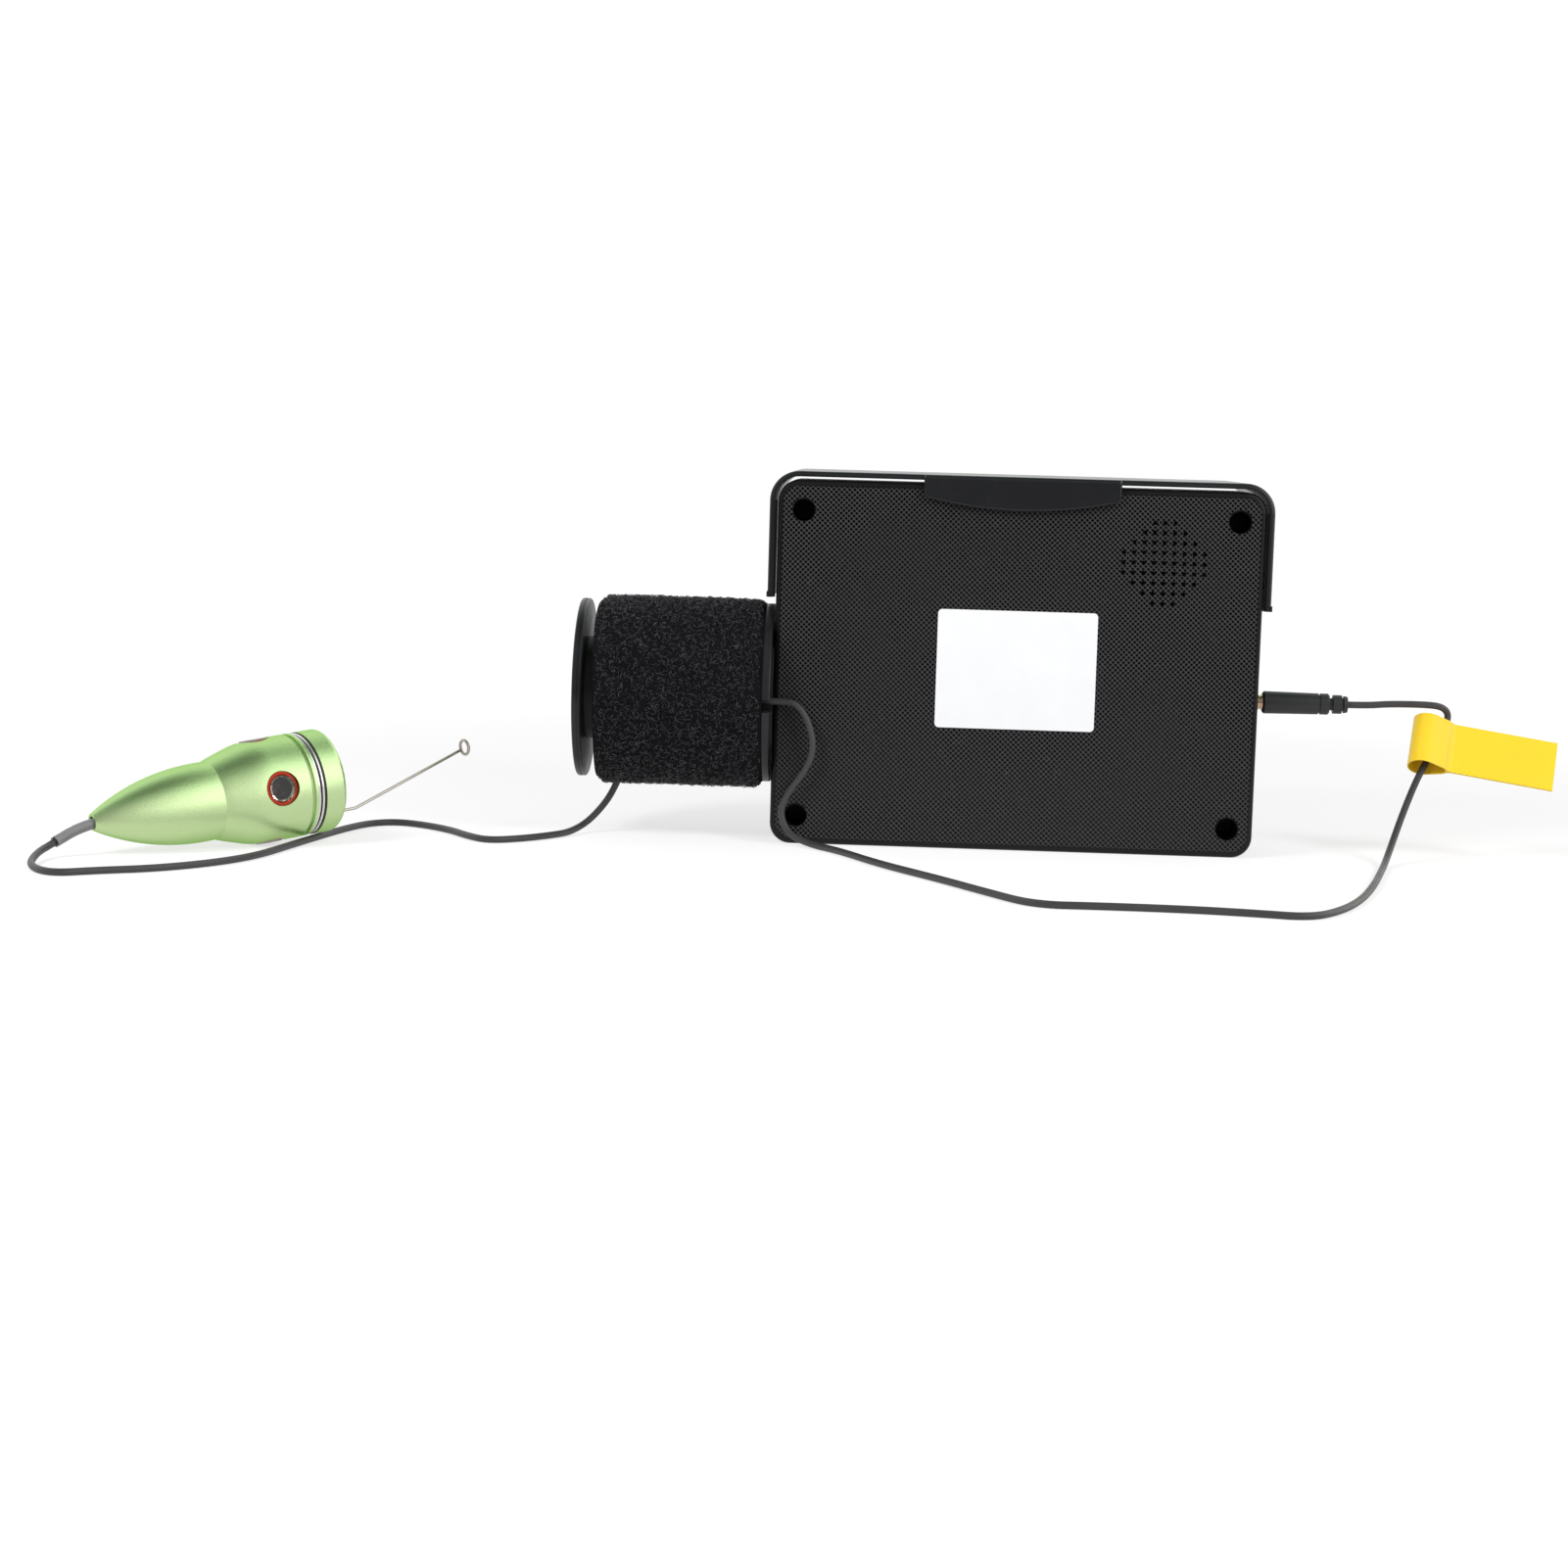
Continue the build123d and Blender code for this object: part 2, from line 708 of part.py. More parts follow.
def head_place():
    """Head frame: +Z from the tail tip to the front, +X level, away from the back of the set."""
    bearing = math.radians(head_bearing)
    level = Vector(-math.sin(bearing), math.cos(bearing), 0)
    return Plane(origin=(head_x, head_y, head_z), x_dir=level, z_dir=axis_direction()).location


def turned(points):
    """Revolve a closed outline of (radius, distance) points about the head's axis."""
    return revolve(make_face(Plane.XZ * Polyline(*points, close=True)), Axis.Z)


def tube(r_in, r_out, low, high):
    return turned([(r_in, low), (r_out, low), (r_out, high), (r_in, high)])


def cap_start():
    return head_length - cap_length


def seal_start():
    return cap_start() - seal_length


def ring_starts():
    second = seal_start() - ring_length
    return second - ring_gap - ring_length, second


def collar_end():
    return ring_starts()[0]


def groove_start():
    return collar_end() - collar_length - groove_length


def head_profile():
    ogive = ThreePointArc((tail_radius, 0), (ogive_radius, ogive_at), (crease_radius, crease_at))
    flare = crease_radius + (head_radius - crease_radius) * 0.46
    shoulder = Spline(
        (crease_radius, crease_at), (flare, crease_at + 5), (head_radius, shoulder_at),
        tangents=[(0.42, 1), (0, 1)],
    )
    rest = Polyline(
        (head_radius, shoulder_at), (head_radius, groove_start() - 0.4),
        (head_radius - 0.4, groove_start()), (head_radius - groove_depth, groove_start() + 0.1),
        (head_radius - groove_depth, groove_start() + groove_length),
        (head_radius, groove_start() + groove_length), (head_radius, collar_end()),
        (spigot_radius, collar_end()), (spigot_radius, cap_start() + spigot_reach),
        (0, cap_start() + spigot_reach), (0, 0), (tail_radius, 0),
    )
    return make_face(Plane.XZ * (ogive + shoulder + rest))


def window_turns():
    return [Rot(0, 0, angle) for angle in circle_angles(4, window_roll)]


def across(turn, radius, low, high):
    """A rod square to the head's axis at the windows, between two distances from the axis."""
    middle = (low + high) / 2
    return turn * Pos(middle, 0, window_at) * Rot(0, 90, 0) * Cylinder(radius, high - low)


def head_body():
    body = revolve(head_profile(), Axis.Z)
    body -= tube(0, cavity_radius, cavity_start, head_length)
    body -= tube(0, gland_radius, 0, gland_depth)
    for turn in window_turns():
        body -= across(turn, window_diameter / 2, window_seat, head_radius + 1)
        body -= across(turn, window_glass / 2 - 0.4, cavity_radius - 2, head_radius)
    return head_place() * body


def steel_rings():
    rings = []
    for start in ring_starts():
        ring = tube(spigot_radius + 0.05, head_radius - 0.15, start, start + ring_length)
        outer = ring.edges().filter_by(GeomType.CIRCLE).sort_by(SortBy.LENGTH)[-2:]
        rings.append(head_place() * fillet(outer, ring_round))
    return rings


def cap_seal():
    return head_place() * tube(spigot_radius + 0.05, head_radius - 0.1, seal_start(), cap_start())


def glass_start():
    return cap_start() + spigot_reach


def front_cap():
    low = cap_start()
    glass_top = glass_start() + front_glass_depth
    points = [
        (spigot_radius + 0.05, low), (head_radius, low), (head_radius, head_length),
        (front_port, head_length), (front_port, glass_top), (spigot_radius + 0.05, glass_top),
    ]
    cap = turned(points)
    edge = cap.edges().filter_by(GeomType.CIRCLE).sort_by(Axis.Z)[-2:].sort_by(SortBy.LENGTH)[-1]
    cap = fillet(edge, cap_edge)
    hole = arm_turn() * Pos(arm_circle, 0, head_length - arm_hold) * Cylinder(
        arm_wire / 2 + 0.05, arm_hold * 2)
    return head_place() * (cap - hole)


def front_glass():
    return head_place() * tube(0, spigot_radius - 0.1, glass_start(), glass_start() + front_glass_depth)


def window_seals():
    seals = []
    for turn in window_turns():
        seal = across(turn, window_diameter / 2 - 0.1, window_seat, window_seat + seal_height)
        seals.append(head_place() * (seal - across(turn, window_glass / 2 + 0.1, window_seat, head_radius)))
    return seals


def window_lenses():
    return [
        head_place() * across(turn, window_glass / 2, window_seat, window_seat + glass_height)
        for turn in window_turns()
    ]


def lamp_carrier():
    """Square carrier for the four side lamps, rounded to slide into the bore."""
    start = window_at - lamp_length / 2
    carrier = Pos(0, 0, window_at) * Rot(0, 0, window_roll) * Box(2 * lamp_half, 2 * lamp_half, lamp_length)
    return head_place() * (carrier & tube(0, cavity_radius - fit, start, start + lamp_length))


def lamp_boards():
    return [
        head_place() * turn * Pos(lamp_half + lamp_board / 2, 0, window_at)
        * Box(lamp_board, lamp_board_width, lamp_board_length)
        for turn in window_turns()
    ]


def lamp_emitters():
    middle = lamp_half + lamp_board + emitter_height / 2
    return [
        head_place() * turn * Pos(middle, 0, window_at) * Box(emitter_height, emitter_size, emitter_size)
        for turn in window_turns()
    ]


def camera_board():
    start = window_at + lamp_length / 2
    return head_place() * tube(0, cavity_radius - fit, start, start + 1.2)


def camera_module():
    start = window_at + lamp_length / 2 + 1.2
    barrel_end = glass_start() - 1.0
    middle = start + camera_base_height / 2
    base = head_place() * Pos(0, 0, middle) * Box(camera_base, camera_base, camera_base_height)
    return base + head_place() * tube(0, camera_barrel, middle, barrel_end)


def ring_lamps():
    """Lamps round the lens, standing on the camera board."""
    start = window_at + lamp_length / 2 + 1.2
    lamps = []
    for angle in circle_angles(8, 0):
        lamp = Pos(ring_circle, 0, start + ring_lamp_height / 2) * Cylinder(ring_lamp_radius, ring_lamp_height)
        lamps.append(head_place() * Rot(0, 0, angle) * lamp)
    return lamps


def arm_turn():
    return Rot(0, 0, arm_angle)


def wire_arm():
    """Bent wire with an eye, held in the cap and crossing in front of the lens."""
    rise = math.radians(arm_rise)
    start = head_length - arm_hold
    bend = head_length + arm_lead
    tip_out = bend + arm_length * math.cos(rise)
    tip_in = arm_circle - arm_length * math.sin(rise)
    path = FilletPolyline((arm_circle, 0, start), (arm_circle, 0, bend), (tip_in, 0, tip_out), radius=arm_bend)
    wire = sweep(Plane(path @ 0, z_dir=path % 0) * Circle(arm_wire / 2), path=path)
    askew = Rot(0, 0, eye_spin) * Rot(0, eye_turn, 0) * Rot(0, 0, eye_phase)
    eye = askew * Pos(eye_radius, 0, 0) * Torus(eye_radius, arm_wire / 2)
    eye = Pos(tip_in, 0, tip_out) * Rot(0, -arm_rise, 0) * eye
    return head_place() * arm_turn() * (wire + eye)


# ---------------------------------------------------------------- cables
def tail_point(distance):
    """A point on the head's axis, measured forwards from the tail tip."""
    point = Vector(head_x, head_y, head_z) + axis_direction() * distance
    return (point.X, point.Y, point.Z)


camera_route = [
    tail_point(gland_depth),
    tail_point(-1.8),
    (-259.3, -89.9, 3.5),
    (-260.6, -98.5, 2.4),
    (-258.7, -112.5, 1.1),
    (-249.8, -123.6, 1.1),
    (-239.7, -116.5, 1.1),
    (-226.3, -109.8, 1.1),
    (-213.6, -96.5, 1.1),
    (-205.5, -81.0, 1.1),
    (-201.1, -60.1, 1.1),
    (-196.9, -41.0, 1.1),
    (-193.1, -24.2, 1.1),
    (-188.1, -9.3, 1.1),
    (-180.5, -4.3, 1.1),
    (-171.5, -9.1, 1.1),
    (-162.4, -18.2, 1.1),
    (-156.2, -28.6, 1.1),
    (-149.1, -36.7, 1.1),
    (-140.0, -30.8, 1.1),
    (-131.7, -20.6, 1.1),
    (-128.1, -13.1, 1.1),
    (-124.2, -5.8, 2.9),
    (-120.2, -3.8, 7.1),
    (-117.0, -3.6, 11.8),
    (-115.3, -4.2, 15.8),
]

lead_route = [
    (winding_end, -16.6, spool_height - lead_drop),
    (-67.2, -16.6, spool_height - lead_drop),
    (-63.2, -17.4, 41.3),
    (-59.3, -18.3, 36.6),
    (-57.3, -18.3, 27.9),
    (-60.2, -18.3, 21.1),
    (-64.3, -18.3, 15.9),
    (-67.0, -18.3, 9.7),
    (-64.5, -18.6, 3.5),
    (-58.1, -22.7, 1.1),
    (-49.2, -34.1, 1.1),
    (-37.3, -57.8, 1.1),
    (-21.2, -81.8, 1.1),
    (-8.9, -102.4, 1.1),
    (2.5, -120.3, 1.1),
    (18.7, -119.3, 1.1),
    (41.1, -119.7, 1.1),
    (58.2, -122.4, 1.1),
    (71.9, -125.9, 1.1),
    (81.3, -113.5, 1.1),
    (89.5, -93.8, 1.1),
    (96.9, -67.2, 1.1),
    (103.1, -40.3, 1.1),
    (106.5, -25.2, 1.1),
    (109.4, -17.0, 5.0),
    (112.0, -12.5, 10.7),
    (114.6, -9.6, 17.0),
    (117.5, -7.4, 23.8),
    (121.0, -4.5, 29.9),
    (124.5, -0.6, 35.5),
    (127.7, 1.7, 41.6),
    (125.3, -0.6, 44.7),
    (119.6, -1.1, 45.2),
    (109.2, -0.8, 45.0),
    (103.5, jack_y, jack_height),
    (x_side + collar_out + grip_length + neck_length + relief_length, jack_y, jack_height),
]


def corner_radii(route):
    """The largest tangent arcs that two neighbouring runs leave room for."""
    radii = []
    for before, corner, after in zip(route, route[1:], route[2:]):
        run_in = Vector(*corner) - Vector(*before)
        run_out = Vector(*after) - Vector(*corner)
        turn = math.radians(run_in.get_angle(run_out))
        radii.append(0.45 * min(run_in.length, run_out.length) / math.tan(turn / 2))
    return radii


def cable_path(route):
    return FilletPolyline(*route, radius=corner_radii(route))


def cable_tube(route, name):
    path = cable_path(route)
    section = Plane(path @ 0, z_dir=path % 0) * Circle(cable_diameter / 2)
    solid = sweep(section, path=path)
    expected = math.pi * (cable_diameter / 2) ** 2 * path.length
    print(name, "radii", [round(r, 1) for r in corner_radii(route)])
    print(name, "length", round(path.length, 1), "volume", round(solid.volume, 1), "expected", round(expected, 1))
    return solid


def shrink_sleeve():
    """Clear sleeve over the cable where it leaves the tail."""
    path = cable_path(camera_route[:5])
    share = sleeve_length / path.length
    inside = Plane(path @ 0, z_dir=path % 0)
    short = path.trim(0, share)
    bore = cable_diameter / 2 + sleeve_clearance
    outer = sweep(inside * Circle(bore + sleeve_wall), path=short)
    return outer - sweep(inside * Circle(bore), path=short)


# ---------------------------------------------------------------- plug
def plug_shank():
    pin = rod_x(jack_y, jack_height, pin_diameter / 2, x_side - pin_length, x_side + collar_out)
    pin = chamfer(pin.edges().filter_by(GeomType.CIRCLE).sort_by(Axis.X)[0], 0.9)
    for count in (1, 2, 3):
        at = x_side - pin_length + count * pin_band_pitch
        band = rod_x(jack_y, jack_height, pin_diameter / 2 + 1, at, at + pin_band)
        pin -= band - rod_x(jack_y, jack_height, pin_diameter / 2 - 0.2, at, at + pin_band)
    collar = rod_x(jack_y, jack_height, collar_diameter / 2, x_side + fit, x_side + collar_out)
    for count in (1, 2):
        at = x_side + count * collar_out / 3 - collar_band / 2 + fit
        collar -= rod_x(jack_y, jack_height, collar_diameter, at, at + collar_band) - rod_x(
            jack_y, jack_height, collar_diameter / 2 - collar_band, at, at + collar_band)
    return pin + collar


def plug_body():
    start = x_side + collar_out
    end = start + grip_length
    ring_at = end - 2.6
    half = grip_diameter / 2
    half_end = grip_end_diameter / 2
    points = [
        (start, 0), (start, half - 0.5), (start + 0.5, half), (ring_at - 0.6, half_end),
        (ring_at - 0.6, half_end - grip_groove), (ring_at, half_end - grip_groove),
        (ring_at, half_end), (end - 0.4, half_end), (end, half_end - 0.4), (end, 0),
    ]
    face = make_face(Plane.XZ * Polyline(*points, close=True))
    return Pos(0, jack_y, jack_height) * revolve(face, Axis.X)


def strain_relief():
    start = x_side + collar_out + grip_length
    body_start = start + neck_length
    end = body_start + relief_length
    half = relief_diameter / 2
    neck = neck_diameter / 2
    points = [
        (start, 0), (start, neck), (body_start, neck), (body_start, half),
        (end - relief_ring - 0.6, half), (end - relief_ring - 0.6, neck),
        (end - relief_ring, neck), (end - relief_ring, half - 0.2), (end, half - 0.4), (end, 0),
    ]
    face = make_face(Plane.XZ * Polyline(*points, close=True))
    return Pos(0, jack_y, jack_height) * revolve(face, Axis.X)


def tag_loop(inset):
    """Drop-shaped outline of the label where it goes round the cable."""
    round_end = Circle(tag_roll_radius - inset)
    throat = Pos(tag_throat, 0) * Circle(tag_throat_radius - inset)
    return make_hull(round_end.edges() + throat.edges())


def length_tag():
    """Folded label: a roll round the cable, and its two halves stuck together as a flag."""
    flag_start = tag_throat + tag_throat_radius - tag_sheet
    flag_end = tag_length - tag_roll_radius
    flag = Pos((flag_start + flag_end) / 2, 0) * Rectangle(flag_end - flag_start, 2 * tag_sheet)
    section = tag_loop(0) - tag_loop(tag_sheet) + flag
    inner = [vertex for vertex in section.vertices() if abs(vertex.X - flag_start) < 1.0 and abs(abs(vertex.Y) - tag_sheet) < 0.05]
    section = fillet(inner, tag_blend)
    label = extrude(section, amount=tag_width / 2, both=True)
    return Pos(tag_x, tag_y, tag_z) * Rot(-tag_tip, 0, 0) * Rot(0, tag_turn, 0) * label


# ---------------------------------------------------------------- write the parts
def sub_parts():
    parts = {
        "rear_shell": rear_shell(),
        "front_shell": front_shell(),
        "shell_screws": shell_screws(),
        "screen_lens": screen_lens(),
        "lcd_panel": lcd_panel(),
        "main_board": main_board(),
        "board_chips": board_chips(),
        "key_switches": key_switches(),
        "status_led": status_led(),
        "battery_pack": battery_pack(),
        "battery_pad": battery_pad(),
        "speaker": speaker(),
        "av_jack": av_jack(),
        "charge_socket": charge_socket(),
        "rating_label": rating_label(),
        "sun_hood": sun_hood(),
        "inner_flange": inner_flange(),
        "outer_flange": outer_flange(),
        "spool_core": spool_core(),
        "spool_mount_screws": spool_mount_screws(),
        "cover_screws": cover_screws(),
        "cable_winding": cable_winding(),
        "wrap_strap": wrap_strap(),
        "head_body": head_body(),
        "steel_rings": steel_rings(),
        "cap_seal": cap_seal(),
        "front_cap": front_cap(),
        "front_glass": front_glass(),
        "window_seals": window_seals(),
        "window_lenses": window_lenses(),
        "lamp_carrier": lamp_carrier(),
        "lamp_boards": lamp_boards(),
        "lamp_emitters": lamp_emitters(),
        "camera_board": camera_board(),
        "camera_module": camera_module(),
        "ring_lamps": ring_lamps(),
        "wire_arm": wire_arm(),
        "shrink_sleeve": shrink_sleeve(),
        "camera_cable": cable_tube(camera_route, "camera_cable"),
        "monitor_lead": cable_tube(lead_route, "monitor_lead"),
        "plug_shank": plug_shank(),
        "plug_body": plug_body(),
        "strain_relief": strain_relief(),
        "length_tag": length_tag(),
    }
    for name, x in zip(key_names, key_xs):
        parts[name] = key(x)
    return parts


def as_one(shape):
    """One shape for the file: a single solid, or a group of separate solids."""
    solids = []
    for piece in shape if isinstance(shape, list) else [shape]:
        solids.extend(piece.solids())
    return solids[0] if len(solids) == 1 else Compound(children=solids)


os.makedirs("parts", exist_ok=True)
for node, shape in sub_parts().items():
    export_step(as_one(shape), f"parts/{node}.step")
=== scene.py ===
import math
import random

import bpy
import numpy as np
from mathutils import Matrix, Vector, noise


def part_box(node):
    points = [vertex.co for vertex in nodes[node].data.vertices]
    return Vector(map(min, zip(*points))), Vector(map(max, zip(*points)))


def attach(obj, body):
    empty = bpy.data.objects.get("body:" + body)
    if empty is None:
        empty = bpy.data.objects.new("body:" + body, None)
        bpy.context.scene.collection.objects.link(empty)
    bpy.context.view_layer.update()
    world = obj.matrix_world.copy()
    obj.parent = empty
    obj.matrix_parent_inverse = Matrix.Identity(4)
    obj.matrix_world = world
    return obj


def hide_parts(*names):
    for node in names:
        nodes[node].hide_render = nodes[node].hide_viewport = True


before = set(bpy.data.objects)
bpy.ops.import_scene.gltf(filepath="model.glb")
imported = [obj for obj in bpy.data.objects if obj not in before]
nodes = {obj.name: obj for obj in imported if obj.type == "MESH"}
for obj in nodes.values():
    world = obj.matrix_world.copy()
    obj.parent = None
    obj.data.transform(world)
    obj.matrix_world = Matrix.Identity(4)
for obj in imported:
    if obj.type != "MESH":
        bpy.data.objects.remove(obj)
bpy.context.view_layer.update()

bpy.ops.object.select_all(action="DESELECT")
print("fish finder: frame loaded,", len(nodes), "solids")


# camera, lamps and floor
cameraSet = {
    "place": (-0.03484, -0.86153, 0.11795),
    "yaw": 2.104, "pitch": 6.77, "roll": 1.62,  # degrees
    "lens": 67.46, "sensor": 36.0,
}


def addCamera():
    data = bpy.data.cameras.new("setCamera")
    data.lens = cameraSet["lens"]
    data.sensor_width = cameraSet["sensor"]
    data.clip_start = 0.01
    camera = bpy.data.objects.new("setCamera", data)
    turn = Matrix.Rotation(math.radians(cameraSet["yaw"]), 4, "Z")
    tip = Matrix.Rotation(math.radians(90 - cameraSet["pitch"]), 4, "X")
    roll = Matrix.Rotation(math.radians(cameraSet["roll"]), 4, "Z")
    camera.matrix_world = Matrix.Translation(cameraSet["place"]) @ turn @ tip @ roll
    bpy.context.scene.collection.objects.link(camera)
    bpy.context.scene.camera = camera


def addNode(tree, kind, settings=None, inputs=None):
    made = tree.nodes.new(kind)
    for key, value in (settings or {}).items():
        setattr(made, key, value)
    for key, value in (inputs or {}).items():
        if isinstance(value, bpy.types.NodeSocket):
            tree.links.new(value, made.inputs[key])
        else:
            made.inputs[key].default_value = value
    return made


def calc(tree, operation, first, second=0.0, clamp=False):
    settings = {"operation": operation, "use_clamp": clamp}
    made = addNode(tree, "ShaderNodeMath", settings, {0: first, 1: second})
    return made.outputs[0]


def spread(tree, value, low, high, toLow, toHigh, smooth=False):
    settings = {"interpolation_type": "SMOOTHSTEP" if smooth else "LINEAR"}
    made = addNode(tree, "ShaderNodeMapRange", settings,
                   {"Value": value, "From Min": low, "From Max": high, "To Min": toLow, "To Max": toHigh})
    return made.outputs["Result"]


def blendTones(tree, share, first, second):
    made = addNode(tree, "ShaderNodeMix", {"data_type": "RGBA"})
    for index, value in ((0, share), (6, first), (7, second)):
        if isinstance(value, bpy.types.NodeSocket):
            tree.links.new(value, made.inputs[index])
        elif index:
            made.inputs[index].default_value = (*value, 1.0)
        else:
            made.inputs[index].default_value = value
    return made.outputs[2]


studio = {
    "fill": 0.50,  # world light on the object
    # the room as it shows in reflections; each span is a range of directions
    "behind": 0.34, "behindSpan": (-0.9, 0.6),
    "above": 0.14, "aboveSpan": (0.84, 0.97), "aboveTone": (0.74, 1.0, 0.74), "toneSpan": (0.66, 0.92),
    "side": 1.0, "sideSpan": (0.04, 0.36), "farSide": 1.72, "farSideSpan": (0.40, 0.80),
    "floorSize": 16.0, "floorShift": 2.0, "floorTone": 0.36, "floorLift": 0.68, "floorFar": 0.85,
    "fade": (0.26, 0.60), "bounce": 0.6,
    "near": (-0.16, -0.34), "nearFull": 0.76, "nearLeft": 0.05,  # where the floor's reflection fades out
    "lamps": {
        "leftBox": {"place": (-0.50, -0.46, 0.50), "aim": (-0.04, 0, 0.05), "size": 0.22, "power": 3.0},
        "rightBox": {"place": (0.50, -0.46, 0.50), "aim": (0.0, 0, 0.05), "size": 0.22, "power": 2.8},
    },
}


def addWorld():
    world = bpy.data.worlds.new("studioWorld")
    world.use_nodes = True
    tree = world.node_tree
    tree.nodes.clear()
    output = tree.nodes.new("ShaderNodeOutputWorld")
    direction = addNode(tree, "ShaderNodeSeparateXYZ", None,
                        {0: tree.nodes.new("ShaderNodeTexCoord").outputs["Generated"]})
    depth = spread(tree, direction.outputs["Y"], *studio["behindSpan"], studio["behind"], 1.0, True)
    height = spread(tree, direction.outputs["Z"], *studio["aboveSpan"], 1.0, studio["above"], True)
    side = spread(tree, direction.outputs["X"], *studio["sideSpan"], 0.0, studio["side"], True)
    farSide = spread(tree, direction.outputs["X"], *studio["farSideSpan"], 1.0, studio["farSide"], True)
    side = calc(tree, "MULTIPLY", side, farSide)
    gloss = calc(tree, "MULTIPLY", calc(tree, "MAXIMUM", depth, side), height)
    rays = tree.nodes.new("ShaderNodeLightPath").outputs
    plain = calc(tree, "MAXIMUM", rays["Is Camera Ray"], rays["Is Transmission Ray"])
    lift = calc(tree, "MULTIPLY", calc(tree, "SUBTRACT", gloss, studio["fill"]), rays["Is Glossy Ray"])
    seen = calc(tree, "ADD", lift, studio["fill"])
    strength = calc(tree, "MAXIMUM", seen, plain)
    low = spread(tree, direction.outputs["Z"], *studio["toneSpan"], 1.0, 0.0, True)
    white = calc(tree, "MAXIMUM", low, calc(tree, "SUBTRACT", 1.0, rays["Is Glossy Ray"]))
    colour = blendTones(tree, white, studio["aboveTone"], (1.0, 1.0, 1.0))
    light = addNode(tree, "ShaderNodeBackground", None, {"Color": colour, "Strength": strength})
    tree.links.new(light.outputs[0], output.inputs["Surface"])
    bpy.context.scene.world = world


def addLamps():
    for name, values in studio["lamps"].items():
        data = bpy.data.lights.new(name, "AREA")
        data.shape = "SQUARE"
        data.size = values["size"]
        data.energy = values["power"]
        lamp = bpy.data.objects.new(name, data)
        place, aim = Vector(values["place"]), Vector(values["aim"])
        turn = (aim - place).to_track_quat("-Z", "Y").to_matrix().to_4x4()
        lamp.matrix_world = Matrix.Translation(place) @ turn
        lamp.visible_glossy = False
        bpy.context.scene.collection.objects.link(lamp)


def addFloor():
    bpy.ops.mesh.primitive_plane_add(size=studio["floorSize"], location=(0, studio["floorShift"], 0))
    floor = bpy.context.object
    floor.name = "studioFloor"
    material = bpy.data.materials.new("floorPaper")
    material.use_nodes = True
    tree = material.node_tree
    tree.nodes.clear()
    output = tree.nodes.new("ShaderNodeOutputMaterial")
    paper = tree.nodes.new("ShaderNodeBsdfDiffuse")
    rays = tree.nodes.new("ShaderNodeLightPath").outputs
    seen = calc(tree, "MAXIMUM", rays["Is Camera Ray"], rays["Is Glossy Ray"])
    seen = calc(tree, "MAXIMUM", seen, rays["Is Transmission Ray"])
    seen = calc(tree, "MAXIMUM", seen, calc(tree, "MULTIPLY", rays["Is Diffuse Ray"], studio["bounce"]))
    place = tree.nodes.new("ShaderNodeNewGeometry").outputs["Position"]
    away = addNode(tree, "ShaderNodeVectorMath", {"operation": "LENGTH"}, {0: place})
    lifts = studio["floorLift"], studio["floorFar"]
    level = spread(tree, away.outputs["Value"], *studio["fade"], *lifts, True)
    front = addNode(tree, "ShaderNodeSeparateXYZ", None, {0: place}).outputs["Y"]
    kept = spread(tree, front, *studio["near"], studio["nearFull"], studio["nearLeft"], True)
    kept = calc(tree, "MAXIMUM", kept, calc(tree, "SUBTRACT", 1.0, rays["Is Glossy Ray"]))
    level = calc(tree, "MULTIPLY", level, kept)
    tone = calc(tree, "MULTIPLY", kept, studio["floorTone"])
    grey = addNode(tree, "ShaderNodeCombineColor", None, {0: tone, 1: tone, 2: tone})
    tree.links.new(grey.outputs[0], paper.inputs["Color"])
    lift = addNode(tree, "ShaderNodeEmission", None,
                   {"Color": (1, 1, 1, 1), "Strength": calc(tree, "MULTIPLY", seen, level)})
    both = addNode(tree, "ShaderNodeAddShader", None, {0: paper.outputs[0], 1: lift.outputs[0]})
    tree.links.new(both.outputs[0], output.inputs["Surface"])
    floor.data.materials.append(material)


addCamera()
addWorld()
addLamps()
addFloor()
bpy.context.scene.view_settings.view_transform = "Standard"
print("fish finder: studio set")


# effects that several finishes share
def newGroup(name, inputs, outputs):
    tree = bpy.data.node_groups.new(name, "ShaderNodeTree")
    for label, value in inputs.items():
        kind = "NodeSocketVector" if isinstance(value, tuple) else "NodeSocketFloat"
        tree.interface.new_socket(name=label, in_out="INPUT", socket_type=kind).default_value = value
    for label in outputs:
        tree.interface.new_socket(name=label, in_out="OUTPUT", socket_type="NodeSocketFloat")
    return tree, tree.nodes.new("NodeGroupInput").outputs, tree.nodes.new("NodeGroupOutput").inputs


grainSet = {"pebbleShare": 0.6, "patchSpan": (0.3, 0.7)}
wearSet = {
    "turn": (0.5, 0.3, 0.6), "stretch": 14.0, "scuffSpan": (0.66, 0.74),
    "areaScale": 35.0, "areaSpan": (0.5, 0.62),  # scuffs gather in areas
    "speckSpan": (0.22, 0.1), "levelSpan": (0.1, 1.0), "steepShare": 0.15,
}


